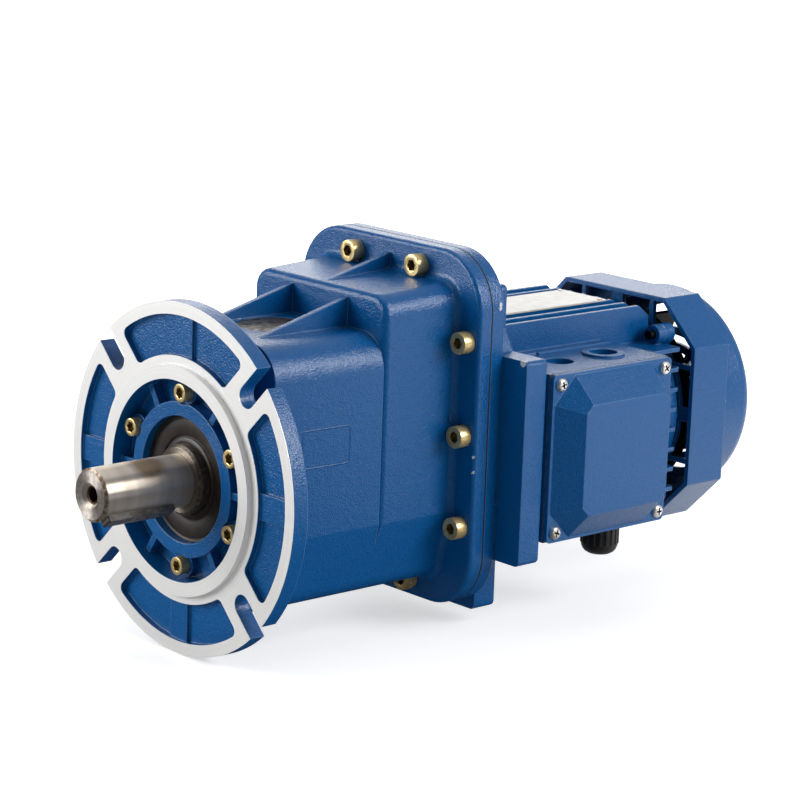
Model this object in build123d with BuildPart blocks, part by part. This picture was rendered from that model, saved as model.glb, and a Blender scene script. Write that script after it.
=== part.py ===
"""Two-stage in-line helical gearmotor with an output flange.

Millimetres. +X runs along the output shaft, out of the flange; +Y is the side
of the terminal box; +Z is up. The origin is on the output shaft's axis, in the
mounting face of the output flange.
"""

import os
from math import acos, asin, cos, hypot, pi, radians, sin, tan

from build123d import *

os.makedirs("parts", exist_ok=True)

# Clearances
press_gap = 0.02
running_gap = 0.05
screw_gap = 0.5
socket_depth_share = 0.55

# Shaft heights above the output axis
intermediate_z = 57
motor_z = 5

# Output flange
flange_d = 200
flange_rim_t = 10
pilot_d = 130
pilot_h = 3.5
pilot_bore_d = 114
slot_circle_d = 165
slot_w = 13
slot_web_t = 8
pocket_inner_r = 70
pocket_outer_r = 92.8
pocket_depth = 4
pocket_band_w = 15
pocket_band_h = 2
pocket_corner_r = 4
flange_hub_d = 126
flange_back_x = -22
hub_ring_x = -1.7
hub_ring_d = 88
hub_floor_x = -10
hub_rib_w = 4
hub_rib_x = -3
hub_rib_angles = (0, 57, 123, 180, 237, 303)
spigot_d = 84
spigot_l = 2

# Flange screws, M6 socket heads
flange_screw_d = 6
flange_screw_head_d = 10.5
flange_screw_head_h = 6
flange_screw_seat_x = -5.5
flange_screw_l = 32
flange_screw_circle_d = 99
flange_screw_angles = (25.5, 90, 154.5, 205.5, 270, 334.5)
flange_scallop_d = 14

# Output seal and shaft
seal_bore_d = 72
seal_x = -6.5
seal_w = 10
seal_wall = 2
seal_lip_h = 2.6
seal_lip_rise = 0.8
output_shaft_d = 30
output_shaft_l = 60
output_collar_d = 40
output_mid_d = 38
shaft_relief = 2
output_gear_seat_d = 28
output_end_x = -131
centre_thread_d = 10
centre_thread_l = 22
output_key_w = 8
output_key_h = 7
output_key_l = 45
output_key_inset = 3
output_key_chamfer = 0.8
output_key_angle = -52

# Ball bearings: bore, outside diameter, width
front_output_bearing = (35, 72, 17)
rear_output_bearing = (30, 62, 16)
front_intermediate_bearing = (15, 35, 11)
rear_intermediate_bearing = (17, 40, 12)
front_motor_bearing = (20, 47, 14)
rear_motor_bearing = (17, 40, 12)
front_output_bearing_x = -24
rear_output_bearing_x = -82
front_intermediate_bearing_x = -86
rear_intermediate_bearing_x = -162
front_motor_bearing_x = -172
rear_motor_bearing_set = 12
bearing_lip = 4
ball_count = 8
ball_share = 0.29
land_share = 0.19

# Gear pairs: whole teeth, normal modules, shaft distances and face widths
pressure_angle = 20
backlash = 0.18
addendum = 0.92
dedendum = 1.2
root_lift = 0.15
first_module = 1.5
first_pinion_teeth = 18
first_wheel_teeth = 50
first_pinion_x = -133
first_pinion_w = 19
first_wheel_x = -134.5
first_wheel_w = 16
second_module = 2
second_pinion_teeth = 14
second_wheel_teeth = 42
second_pinion_x = -99
second_pinion_w = 30
second_wheel_x = -101
second_wheel_w = 26

gear_web_outer_d = 72
gear_web_inner_d = 44
gear_web_depth = 7
wheel_web_outer_d = 62
wheel_web_inner_d = 34
wheel_web_depth = 4

# Gear housing casting
wall = 6
neck_top_z = 81
neck_front_half = 55.5
neck_rear_half = 58.2
neck_bottom_z = -70
neck_bottom_half = 49
crease_z = -28
neck_shoulder_r = 20
neck_bottom_r = 12
box_front_x = -98
box_top_front_z = 102.6
box_top_rear_z = 105.5
box_front_half = 58.2
box_rear_half = 60.5
box_corner_r = 12
box_edge_r = 4
flange_root_r = 4
bolt_flange_x = -151
bolt_flange_t = 9
bolt_flange_half = 78.5
bolt_flange_top_z = 123.7
bolt_flange_bottom_z = -85.7
bolt_flange_corner_r = 34
bolt_flange_edge_r = 2.5
front_wall_t = 12
web_front_x = -79
rib_t = 3
front_rib_y = 24.3
front_rib_top_z = 98
front_rib_foot_x = -34
rear_rib_top_z = 115
rear_rib_foot_x = -102
oil_hole_d = 16
oil_hole_z = -46

# Core plug on the neck
core_plug_x = -66
core_plug_d = 44
core_plug_t = 3
core_hole_d = 38
core_plug_sink = 0.4
core_plug_chamfer = 0.6

# Housing screws, M8 socket heads, as (y, z)
housing_screw_d = 8
housing_screw_head_d = 13
housing_screw_head_h = 8
housing_screw_l = 19
housing_spot_depth = 12
top_screw_y = 28
top_screw_z = 112
bottom_screw_z = -75
side_screw_y = 69
side_screw_zs = (73.5, 19, -35)

# Gasket and input cover
gasket_t = 1
cover_plate_t = 10
cover_pad_t = 17
cover_arm_y = 97.5
cover_arm_top_z = 64.5
cover_arm_bottom_z = -56
cover_post_y = 62.5
cover_post_top_z = 102
cover_post_bottom_z = -90
cover_edge_r = 3
cover_back_r = 2

# Motor frame
frame_l = 142
frame_bore_d = 110
frame_wall = 4
fin_t = 2.4
top_fin_half_z = 67.5
top_fin_pitch = 11.4
top_fin_count = 8
side_fin_half_y = 68
side_fin_pitch = 12.5
side_fin_count = 8
fin_tip_r = 2
fin_slope_l = 9
fin_slope_h = 7
ear_circle_r = 72
ear_d = 12
ear_t = 10
rear_ear_t = 6
ear_screw_d = 4
ear_screw_head_d = 6
ear_screw_head_h = 4
front_screw_l = 22
rear_screw_l = 12

# Terminal box
box_front_gap = 2.5
terminal_box_l = 98
terminal_box_top_z = 55
terminal_box_bottom_z = -44.5
terminal_box_y = 96.5
terminal_box_floor_y = 63
terminal_wall = 4
terminal_roof_t = 7
terminal_corner_r = 3
entry_d = 17
entry_ring_d = 26
entry_ring_h = 1.5
entry_depth = 5
entry_y = 72.5
ringed_entry_x = -258.5
plain_entry_x = -222
lid_gasket_t = 0.6
lid_rim_t = 3
lid_rise = 14
lid_bevel_x = 14.25
lid_bevel_z = 17
lid_inset = 1.5
lid_corner_cut = 16
lid_crown_cut = 5
lid_shell = 2.5
lid_screw_d = 4
lid_screw_head_d = 8
lid_screw_head_h = 2.6
lid_screw_inset = 6
lid_screw_l = 14
lid_screw_round = 1.5
lid_cross_l = 4.4
lid_cross_w = 1
lid_cross_depth = 1.8

# Cable gland
gland_x = -260
gland_y = 76
gland_thread_d = 16
gland_nut_af = 22
gland_nut_h = 17
gland_body_h = 5
gland_bore_d = 8
gland_seal_t = 2
gland_locknut_t = 3.5
gland_nut_wall = 2
gland_nut_facets = 12
gland_facet_out = 0.6
gland_dome_h = 6
gland_dome_w = 7
gland_dome_r = 7.5
lead_hole_d = 16

# Terminal block and its studs
block_l = 56
block_w = 30
block_h = 12
block_shift_x = 4
stud_d = 4
stud_pitch_x = 16
stud_pitch_z = 14
stud_l = 14
stud_set = 8.4
stud_nut_af = 7
stud_nut_h = 3
block_corner_r = 2
barrier_t = 1.6
barrier_h = 3
barrier_inset = 2

# Stator, windings and rotor
stator_l = 72
stator_front_x = -214
stator_bore_d = 66
winding_gap = 5
winding_t = 13
winding_l = 20
air_gap = 0.4
rotor_shaft_d = 28
rotor_front_x = -132.5
fan_end_set = 50

# Rear shield, fan and fan cowl
shield_t = 8
shield_d = 124
shield_spigot_l = 5
fan_set = 22
fan_w = 24
fan_d = 122
fan_hub_d = 34
fan_plate_t = 2.5
fan_plate_inset = 1
fan_blade_t = 2.5
fan_blade_count = 8
fan_blade_turn = 22.5
fan_blade_overlap = 1
cowl_set = 12
cowl_skirt_l = 31
cowl_half = 70.5
cowl_flat_half = 43
cowl_wall = 3
cowl_bowl_d = 134
cowl_bowl_l = 31
cowl_bowl_edge_r = 10
cowl_skirt_edge_r = 2
cowl_spider_set = 3
cowl_spider_t = 3
cowl_land_w = 9
cowl_spoke_w = 3.2
cowl_spoke_y = 29.5
cowl_ring_d = 116
cowl_ring_w = 5
cowl_screw_d = 4
cowl_screw_head_d = 7
cowl_screw_head_h = 3
cowl_screw_l = 12
grille_slot_w = 5
grille_slot_radii = (51, 41, 31, 21)
grille_bridge_count = 6
grille_bridge_w = 5

# Nameplate on the fins
nameplate_l = 92
nameplate_half_w = 19.4
nameplate_t = 1
nameplate_set = 15
rivet_d = 3
rivet_inset = 4
rivet_h = 0.8
rivet_chamfer = 0.4
rivet_fin_pitches = 1.5
nameplate_corner_r = 1.5


def across(x, z=0):
    """Plane across the shafts at x, with its origin at height z."""
    return Plane(origin=(x, 0, z), x_dir=(0, 1, 0), z_dir=(1, 0, 0))


def shaft_axis(z):
    """Axis along X at height z."""
    return Axis((0, 0, z), (1, 0, 0))


def polar(radius, angle):
    """Point at a radius and an angle in degrees."""
    return (radius * cos(radians(angle)), radius * sin(radians(angle)))


def turned(steps, z):
    """Solid of revolution about the shaft at height z from (x, radius) points."""
    with BuildPart() as body:
        with BuildSketch(Plane.XZ):
            with BuildLine():
                Polyline(*[(x, z + radius) for x, radius in steps], close=True)
            make_face()
        revolve(axis=shaft_axis(z))
    return body


# Ball bearings

def bearing(size, x, z):
    """Outer ring, inner ring and balls of a deep-groove bearing whose front face is at x."""
    bore, outside, width = size
    depth = (outside - bore) / 2
    pitch_r = (outside + bore) / 4
    ball_r = ball_share * depth
    land = land_share * depth
    groove_r = ball_r + running_gap
    middle = x - width / 2
    rings = []
    spans = (
        (pitch_r + land, outside / 2 - press_gap),
        (bore / 2 + press_gap, pitch_r - land),
    )
    for low, high in spans:
        with BuildPart() as ring:
            with BuildSketch(Plane.XZ):
                with Locations((middle, z + (low + high) / 2)):
                    Rectangle(width, high - low)
                with Locations((middle, z + pitch_r)):
                    Circle(groove_r, mode=Mode.SUBTRACT)
            revolve(axis=shaft_axis(z))
        rings.append(ring)
    with BuildPart() as balls:
        with Locations(across(middle, z)):
            with PolarLocations(pitch_r, ball_count):
                Sphere(ball_r)
    return rings[0], rings[1], balls


# Helical gears

def helix_angle(module, teeth, distance):
    """Helix angle that brings a pair with this many teeth in all to a shaft distance."""
    return acos(module * teeth / 2 / distance)


def tooth_half_angle(radius, base_r, pitch_r, pitch_half, alpha):
    """Half of the angle that an involute tooth takes up at a radius."""
    inv_pitch = tan(alpha) - alpha
    if radius <= base_r:
        return pitch_half + inv_pitch
    local = acos(base_r / radius)
    return pitch_half + inv_pitch - (tan(local) - local)


def gear_outline(module, teeth, beta, phase):
    """Corner points of a transverse gear section, one tooth centred on the phase angle."""
    pitch_r = module * teeth / cos(beta) / 2
    alpha = radians(pressure_angle)
    alpha_t = acos(1 / hypot(1, tan(alpha) / cos(beta)))
    base_r = pitch_r * cos(alpha_t)
    tip_r = pitch_r + addendum * module
    root_r = pitch_r - dedendum * module
    pitch_half = pi / 2 / teeth - backlash / 4 / pitch_r
    low_r = max(base_r, root_r + root_lift * module)
    radii = (root_r, low_r, (low_r + pitch_r) / 2, pitch_r, (pitch_r + tip_r) / 2, tip_r)
    halves = [tooth_half_angle(r, base_r, pitch_r, pitch_half, alpha_t) for r in radii]
    points = []
    for tooth in range(teeth):
        centre = phase + 2 * pi * tooth / teeth
        rising = [(r, centre - half) for r, half in zip(radii, halves)]
        falling = [(r, centre + half) for r, half in zip(reversed(radii), reversed(halves))]
        points += [(r * cos(a), r * sin(a)) for r, a in rising + falling]
    return points


def helical_gear(module, teeth, beta, hand, x, width, mesh_x, z, phase):
    """Toothed blank from x back to x - width; the phase holds at mesh_x.

    Each edge of the front section is ruled to the same edge of the turned rear section.
    """
    pitch_r = module * teeth / cos(beta) / 2
    rims = []
    for end in (x, x - width):
        turn = phase + hand * (end - mesh_x) * tan(beta) / pitch_r
        rims.append([(end, y, z + up) for y, up in gear_outline(module, teeth, beta, turn)])
    front, rear = rims
    flanks = [
        Face.make_surface_from_curves(
            Edge.make_line(front[i - 1], front[i]), Edge.make_line(rear[i - 1], rear[i])
        )
        for i in range(len(front))
    ]
    caps = [Face(Wire.make_polygon(rim, close=True)) for rim in rims]
    return Solid(Shell(flanks + caps))


first_beta = helix_angle(
    first_module, first_pinion_teeth + first_wheel_teeth, intermediate_z - motor_z
)
second_beta = helix_angle(
    second_module, second_pinion_teeth + second_wheel_teeth, intermediate_z
)
first_mesh_x = first_wheel_x - first_wheel_w / 2
second_mesh_x = second_wheel_x - second_wheel_w / 2


# Output flange
slot_r = slot_circle_d / 2
with BuildPart() as output_flange:
    with BuildSketch(across(0)):
        Circle(flange_d / 2)
    extrude(amount=-flange_rim_t)
    with BuildSketch(across(0)):
        Circle(flange_hub_d / 2)
    extrude(amount=flange_back_x)
    with BuildSketch(across(0)):
        Circle(pilot_d / 2)
        Circle(pilot_bore_d / 2, mode=Mode.SUBTRACT)
    extrude(amount=pilot_h)
    with BuildSketch(across(flange_back_x)):
        Circle(spigot_d / 2)
    extrude(amount=-spigot_l)
    with BuildSketch(across(pilot_h)):
        Circle(pilot_bore_d / 2)
    extrude(amount=hub_floor_x - pilot_h, mode=Mode.SUBTRACT)
    with BuildSketch(across(hub_floor_x)):
        Circle(hub_ring_d / 2)
    extrude(amount=hub_ring_x - hub_floor_x)
    with BuildSketch(across(hub_floor_x)):
        for rib_angle in hub_rib_angles:
            middle_r = (hub_ring_d + pilot_bore_d) / 4
            with Locations(Location((*polar(middle_r, rib_angle), 0), rib_angle)):
                Rectangle(pilot_bore_d / 2 - hub_ring_d / 2 + 2, hub_rib_w)
    extrude(amount=hub_rib_x - hub_floor_x)
    with BuildSketch(across(hub_floor_x)):
        for screw_angle in flange_screw_angles:
            with Locations(polar(flange_screw_circle_d / 2, screw_angle)):
                Circle(flange_scallop_d / 2)
    extrude(amount=flange_screw_seat_x - hub_floor_x)
    with BuildSketch(across(flange_screw_seat_x)):
        for screw_angle in flange_screw_angles:
            with Locations(polar(flange_screw_circle_d / 2, screw_angle)):
                Circle(flange_scallop_d / 2)
    extrude(amount=pilot_h - flange_screw_seat_x, mode=Mode.SUBTRACT)
    with BuildSketch(across(flange_screw_seat_x)):
        for screw_angle in flange_screw_angles:
            with Locations(polar(flange_screw_circle_d / 2, screw_angle)):
                Circle((flange_screw_d + screw_gap) / 2)
    extrude(amount=flange_back_x - flange_screw_seat_x, mode=Mode.SUBTRACT)
    with BuildSketch(across(hub_ring_x)):
        Circle(seal_bore_d / 2)
    extrude(amount=seal_x - seal_w - hub_ring_x, mode=Mode.SUBTRACT)
    with BuildSketch(across(0)):
        Circle(seal_bore_d / 2 - bearing_lip)
    extrude(amount=flange_back_x - spigot_l, mode=Mode.SUBTRACT)
    with BuildSketch(across(0)) as pockets:
        Circle(pocket_outer_r)
        Circle(pocket_inner_r, mode=Mode.SUBTRACT)
        with PolarLocations(0, 2, start_angle=45, angular_range=180):
            Rectangle(flange_d, slot_w + 2 * slot_web_t, mode=Mode.SUBTRACT)
        fillet(pockets.vertices(), pocket_corner_r)
    extrude(amount=-pocket_depth, mode=Mode.SUBTRACT)
    with BuildSketch(across(-pocket_depth)):
        with PolarLocations((pocket_inner_r + pocket_outer_r) / 2, 4):
            Rectangle(pocket_outer_r - pocket_inner_r + 2, pocket_band_w)
    extrude(amount=pocket_band_h)
    with BuildSketch(across(0)):
        with PolarLocations(slot_r, 4, start_angle=45):
            Circle(slot_w / 2)
        with PolarLocations(slot_r + flange_d / 8, 4, start_angle=45):
            Rectangle(flange_d / 4, slot_w)
    extrude(amount=-flange_rim_t, mode=Mode.SUBTRACT)
output_flange.part.label = "output_flange"
export_step(output_flange.part, "parts/output_flange.step")


def socket_screws(places, seat_x, thread_d, head_d, head_h, length, socket_sides, socket_w):
    """Socket-head screws at (y, z) places, pointing to -X, with their heads on seat_x."""
    with BuildPart() as screws:
        with BuildSketch(across(seat_x)):
            with Locations(*places):
                Circle(head_d / 2)
        extrude(amount=head_h)
        with BuildSketch(across(seat_x)):
            with Locations(*places):
                Circle(thread_d / 2)
        extrude(amount=-length)
        with BuildSketch(across(seat_x + head_h)):
            with Locations(*places):
                RegularPolygon(socket_w / 2, socket_sides, major_radius=False)
        extrude(amount=-head_h * socket_depth_share, mode=Mode.SUBTRACT)
    return screws


flange_screw_places = [polar(flange_screw_circle_d / 2, a) for a in flange_screw_angles]
flange_screws = socket_screws(
    flange_screw_places, flange_screw_seat_x, flange_screw_d,
    flange_screw_head_d, flange_screw_head_h, flange_screw_l, 6, 5,
)
flange_screws.part.label = "flange_screws"
export_step(flange_screws.part, "parts/flange_screws.step")


# Core plug, a cup pressed into the cleaning hole of the neck
with BuildPart() as core_plug:
    with BuildSketch(Plane.XY.offset(neck_top_z - core_plug_t)):
        with Locations((core_plug_x, 0)):
            Circle(core_plug_d / 2 - press_gap)
    extrude(amount=core_plug_t - core_plug_sink)
    chamfer(core_plug.edges().group_by(Axis.Z)[-1], core_plug_chamfer)
core_plug.part.label = "core_plug"
export_step(core_plug.part, "parts/core_plug.step")


# Gear housing

def casting_section(x, half, top_z, corner_r, inset=0):
    """Section of the gear housing at x, drawn in by an inset for the inner wall."""
    side = half - inset
    low = neck_bottom_half - inset
    top = top_z - inset
    bottom = neck_bottom_z + inset
    with BuildSketch(across(x)) as section:
        with BuildLine():
            Polyline(
                (-side, crease_z), (-side, top), (side, top),
                (side, crease_z), (low, bottom), (-low, bottom), close=True,
            )
        make_face()
        fillet(section.vertices().group_by(Axis.Y)[-1], corner_r - inset)
        fillet(section.vertices().group_by(Axis.Y)[0], neck_bottom_r - inset)
    return section.sketch


def neck_at(x, inset=0):
    """Neck section at x; its half-width grows evenly towards the box."""
    share = (x - flange_back_x) / (box_front_x - flange_back_x)
    half = neck_front_half + share * (neck_rear_half - neck_front_half)
    return casting_section(x, half, neck_top_z, neck_shoulder_r, inset)


def box_at(x, inset=0):
    """Section of the raised box at x; it widens and rises towards the bolting flange."""
    share = (x - box_front_x) / (bolt_flange_x - box_front_x)
    half = box_front_half + share * (box_rear_half - box_front_half)
    top_z = box_top_front_z + share * (box_top_rear_z - box_top_front_z)
    return casting_section(x, half, top_z, box_corner_r, inset)


bolt_flange_z = (bolt_flange_top_z + bolt_flange_bottom_z) / 2
bolt_flange_h = bolt_flange_top_z - bolt_flange_bottom_z
gasket_x = bolt_flange_x - bolt_flange_t
cover_x = gasket_x - gasket_t
housing_screw_places = [(y, top_screw_z) for y in (-top_screw_y, top_screw_y)]
housing_screw_places += [(y, bottom_screw_z) for y in (-top_screw_y, top_screw_y)]
housing_screw_places += [
    (y, z) for y in (-side_screw_y, side_screw_y) for z in side_screw_zs
]
front_wall_x = flange_back_x - front_wall_t
box_wall_x = box_front_x - wall
front_bore_end_x = front_output_bearing_x - front_output_bearing[2]
web_bores = (
    (0, rear_output_bearing, rear_output_bearing_x),
    (intermediate_z, front_intermediate_bearing, front_intermediate_bearing_x),
)

with BuildPart() as gear_housing:
    with BuildSketch(across(bolt_flange_x)):
        with Locations((0, bolt_flange_z)):
            RectangleRounded(2 * bolt_flange_half, bolt_flange_h, bolt_flange_corner_r)
    extrude(amount=-bolt_flange_t)
    fillet(gear_housing.edges().group_by(Axis.X)[-1], bolt_flange_edge_r)
    loft(sections=[box_at(box_front_x), box_at(gasket_x)])
    fillet(gear_housing.edges().group_by(Axis.X)[-1].sort_by(Axis.Z)[-1:], box_edge_r)
    root_edges = gear_housing.edges().filter_by_position(
        Axis.X, bolt_flange_x - press_gap, bolt_flange_x + press_gap
    )
    fillet(
        [edge for edge in root_edges if abs(edge.center().Y) < box_rear_half + 1
         and edge.center().Z < bolt_flange_top_z - bolt_flange_edge_r - 1
         and edge.center().Z > bolt_flange_bottom_z + bolt_flange_edge_r + 1],
        flange_root_r,
    )
    loft(sections=[neck_at(flange_back_x), neck_at(box_front_x)])
    for rib_y in (-front_rib_y, front_rib_y):
        with BuildSketch(Plane.XZ.offset(rib_y)):
            with BuildLine():
                Polyline(
                    (front_rib_foot_x, neck_top_z), (box_front_x, front_rib_top_z),
                    (box_wall_x, front_rib_top_z), (box_wall_x, neck_top_z - wall),
                    (front_rib_foot_x, neck_top_z - wall), close=True,
                )
            make_face()
        extrude(amount=rib_t / 2, both=True)
    with BuildSketch(Plane.XZ):
        with BuildLine():
            Polyline(
                (rear_rib_foot_x, box_top_front_z), (bolt_flange_x, rear_rib_top_z),
                (gasket_x, rear_rib_top_z), (gasket_x, box_top_front_z - wall),
                (rear_rib_foot_x, box_top_front_z - wall), close=True,
            )
        make_face()
    extrude(amount=rib_t / 2, both=True)
    loft(sections=[neck_at(front_wall_x, wall), neck_at(web_front_x, wall)], mode=Mode.SUBTRACT)
    loft(sections=[neck_at(box_front_x, wall), neck_at(box_wall_x, wall)], mode=Mode.SUBTRACT)
    loft(sections=[box_at(box_wall_x, wall), box_at(gasket_x, wall)], mode=Mode.SUBTRACT)
    with BuildSketch(across(front_wall_x)):
        Circle(front_output_bearing[1] / 2 + wall)
    extrude(amount=front_bore_end_x - front_wall_x - bearing_lip)
    with BuildSketch(across(flange_back_x)):
        Circle(spigot_d / 2 + running_gap)
    extrude(amount=-spigot_l, mode=Mode.SUBTRACT)
    with BuildSketch(across(flange_back_x)):
        Circle(front_output_bearing[1] / 2)
    extrude(amount=front_bore_end_x - flange_back_x, mode=Mode.SUBTRACT)
    with BuildSketch(across(front_bore_end_x)):
        Circle(front_output_bearing[1] / 2 - bearing_lip)
    extrude(amount=-2 * bearing_lip, mode=Mode.SUBTRACT)
    for bore_z, size, start_x in web_bores:
        with BuildSketch(across(box_front_x, bore_z)):
            Circle(size[1] / 2)
        extrude(amount=start_x - box_front_x, mode=Mode.SUBTRACT)
        with BuildSketch(across(start_x, bore_z)):
            Circle(size[1] / 2 - bearing_lip)
        extrude(amount=web_front_x - start_x, mode=Mode.SUBTRACT)
    with BuildSketch(across(box_front_x, oil_hole_z)):
        Circle(oil_hole_d / 2)
    extrude(amount=web_front_x - box_front_x, mode=Mode.SUBTRACT)
    with BuildSketch(Plane.XY.offset(neck_top_z)):
        with Locations((core_plug_x, 0)):
            Circle(core_plug_d / 2)
    extrude(amount=-core_plug_t, mode=Mode.SUBTRACT)
    with BuildSketch(Plane.XY.offset(neck_top_z)):
        with Locations((core_plug_x, 0)):
            Circle(core_hole_d / 2)
    extrude(amount=-2 * wall, mode=Mode.SUBTRACT)
    with BuildSketch(across(bolt_flange_x)):
        with Locations(*housing_screw_places):
            Circle((housing_screw_head_d + 2 * screw_gap) / 2)
    extrude(amount=housing_spot_depth, mode=Mode.SUBTRACT)
    with BuildSketch(across(bolt_flange_x)):
        with Locations(*housing_screw_places):
            Circle((housing_screw_d + screw_gap) / 2)
    extrude(amount=-bolt_flange_t, mode=Mode.SUBTRACT)
    with BuildSketch(across(flange_back_x)):
        with Locations(*flange_screw_places):
            Circle(flange_screw_d / 2 + press_gap)
    extrude(amount=-front_wall_t, mode=Mode.SUBTRACT)
gear_housing.part.label = "gear_housing"
export_step(gear_housing.part, "parts/gear_housing.step")

housing_screws = socket_screws(
    housing_screw_places, bolt_flange_x, housing_screw_d,
    housing_screw_head_d, housing_screw_head_h, housing_screw_l, 6, 6,
)
housing_screws.part.label = "housing_screws"
export_step(housing_screws.part, "parts/housing_screws.step")

with BuildPart() as cover_gasket:
    with BuildSketch(across(gasket_x)):
        with Locations((0, bolt_flange_z)):
            RectangleRounded(2 * bolt_flange_half, bolt_flange_h, bolt_flange_corner_r)
        with Locations(*housing_screw_places):
            Circle((housing_screw_d + screw_gap) / 2, mode=Mode.SUBTRACT)
    extrude(amount=-gasket_t)
    extrude(box_at(gasket_x, wall), amount=-gasket_t, mode=Mode.SUBTRACT)
cover_gasket.part.label = "cover_gasket"
export_step(cover_gasket.part, "parts/cover_gasket.step")


# Input cover, which also carries the motor

cover_back_x = cover_x - cover_plate_t
motor_front_x = cover_back_x - cover_pad_t
motor_bearing_end_x = front_motor_bearing_x - front_motor_bearing[2]
input_seal_x = cover_x - 2
input_seal_w = 7
pad_web_w = 7.5
pad_web_h = 12
motor_spigot_l = 4
ear_angles = (45, 135, 225, 315)
front_screw_places = [polar(ear_circle_r, a) for a in ear_angles]
motor_ear_places = [(y, z + motor_z) for y, z in front_screw_places]
with BuildPart() as input_cover:
    with BuildSketch(across(cover_x)):
        with Locations((0, bolt_flange_z)):
            RectangleRounded(2 * bolt_flange_half, bolt_flange_h, bolt_flange_corner_r)
    extrude(amount=-cover_plate_t)
    fillet(input_cover.edges().group_by(Axis.X)[0], bolt_flange_edge_r)
    with BuildSketch(across(cover_back_x)) as pad:
        arm_h = cover_arm_top_z - cover_arm_bottom_z
        post_h = cover_post_top_z - cover_post_bottom_z
        with Locations((0, (cover_arm_top_z + cover_arm_bottom_z) / 2)):
            Rectangle(2 * cover_arm_y, arm_h)
        fillet(pad.vertices(), cover_edge_r)
        with Locations((0, (cover_post_top_z + cover_post_bottom_z) / 2)):
            RectangleRounded(2 * cover_post_y, post_h, cover_edge_r)
        for side in (-1, 1):
            with BuildLine():
                Polyline(
                    (side * (cover_post_y - 1), cover_arm_top_z - 1),
                    (side * (cover_post_y - 1), cover_arm_top_z + pad_web_h),
                    (side * cover_post_y, cover_arm_top_z + pad_web_h),
                    (side * (cover_post_y + pad_web_w), cover_arm_top_z),
                    (side * (cover_post_y + pad_web_w), cover_arm_top_z - 1), close=True,
                )
            make_face()
    extrude(amount=-cover_pad_t)
    fillet(input_cover.edges().group_by(Axis.X)[0], cover_back_r)
    with BuildSketch(across(cover_x)):
        with Locations(*housing_screw_places):
            Circle(housing_screw_d / 2 + press_gap)
    extrude(amount=-cover_plate_t, mode=Mode.SUBTRACT)
    with BuildSketch(across(motor_front_x, motor_z)):
        Circle(frame_bore_d / 2 - running_gap)
        Circle(front_motor_bearing[1] / 2, mode=Mode.SUBTRACT)
    extrude(amount=-motor_spigot_l)
    with BuildSketch(across(motor_front_x - motor_spigot_l, motor_z)):
        Circle(frame_bore_d / 2 - wall)
    extrude(amount=motor_spigot_l, mode=Mode.SUBTRACT)
    with BuildSketch(across(motor_front_x, motor_z)):
        Circle(front_motor_bearing[1] / 2)
    extrude(amount=front_motor_bearing_x - motor_front_x, mode=Mode.SUBTRACT)
    with BuildSketch(across(cover_x, motor_z)):
        Circle(front_motor_bearing[1] / 2)
    extrude(amount=input_seal_x - input_seal_w - cover_x, mode=Mode.SUBTRACT)
    with BuildSketch(across(cover_x, motor_z)):
        Circle(front_motor_bearing[1] / 2 - bearing_lip)
    extrude(amount=motor_front_x - cover_x, mode=Mode.SUBTRACT)
    with BuildSketch(across(cover_x, intermediate_z)):
        Circle(rear_intermediate_bearing[1] / 2)
    extrude(
        amount=rear_intermediate_bearing_x - rear_intermediate_bearing[2] - cover_x,
        mode=Mode.SUBTRACT,
    )
    with BuildSketch(across(motor_front_x)):
        with Locations(*motor_ear_places):
            Circle(ear_screw_d / 2 + press_gap)
    extrude(amount=front_screw_l - ear_t + 1, mode=Mode.SUBTRACT)
input_cover.part.label = "input_cover"
export_step(input_cover.part, "parts/input_cover.step")


# Motor frame, with its fins and the terminal box cast on

frame_rear_x = motor_front_x - frame_l
rear_motor_bearing_x = frame_rear_x + rear_motor_bearing_set
nameplate_rear_x = frame_rear_x + nameplate_set
cowl_front_x = frame_rear_x - cowl_set
fan_x = frame_rear_x - fan_set
fan_end_x = frame_rear_x - fan_end_set
fin_rear_x = frame_rear_x - 2
box_x = motor_front_x - box_front_gap
box_rear_x = box_x - terminal_box_l
box_mid_x = (box_x + box_rear_x) / 2
box_mid_z = (terminal_box_top_z + terminal_box_bottom_z) / 2
terminal_box_h = terminal_box_top_z - terminal_box_bottom_z
top_fins = [(i - (top_fin_count - 1) / 2) * top_fin_pitch for i in range(top_fin_count)]
side_fins = [(i - (side_fin_count - 1) / 2) * side_fin_pitch for i in range(side_fin_count)]
lid_half_x = terminal_box_l / 2
lid_half_z = terminal_box_h / 2
lid_screw_places = [
    (box_mid_x + sx * (lid_half_x - lid_screw_inset), box_mid_z + sz * (lid_half_z - lid_screw_inset))
    for sx in (-1, 1) for sz in (-1, 1)
]


def facing_side(y):
    """Plane looking out to +Y at y, with local x along +X and local y along -Z."""
    return Plane(origin=(0, y, 0), x_dir=(1, 0, 0), z_dir=(0, 1, 0))


def on_side(places):
    """Points (x, z) in the local directions of facing_side."""
    return [(x, -z) for x, z in places]


def fin_outline(half_height, rear_x):
    """Corners of a fin seen from its flat side, with its rear corners sloped."""
    return [
        (motor_front_x - 1, half_height), (rear_x + fin_slope_l, half_height),
        (rear_x, half_height - fin_slope_h), (rear_x, fin_slope_h - half_height),
        (rear_x + fin_slope_l, -half_height), (motor_front_x - 1, -half_height),
    ]


def ears(x, grow=0):
    """The four screw ears round the motor, in the plane at x, grown by a clearance."""
    with BuildSketch(across(x, motor_z)) as outline:
        for angle in ear_angles:
            with Locations(Location((*polar(ear_circle_r - ear_d / 2, angle), 0), angle)):
                Rectangle(ear_d, ear_d + 2 * grow)
        with Locations(*front_screw_places):
            Circle(ear_d / 2 + grow)
    return outline.sketch


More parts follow.
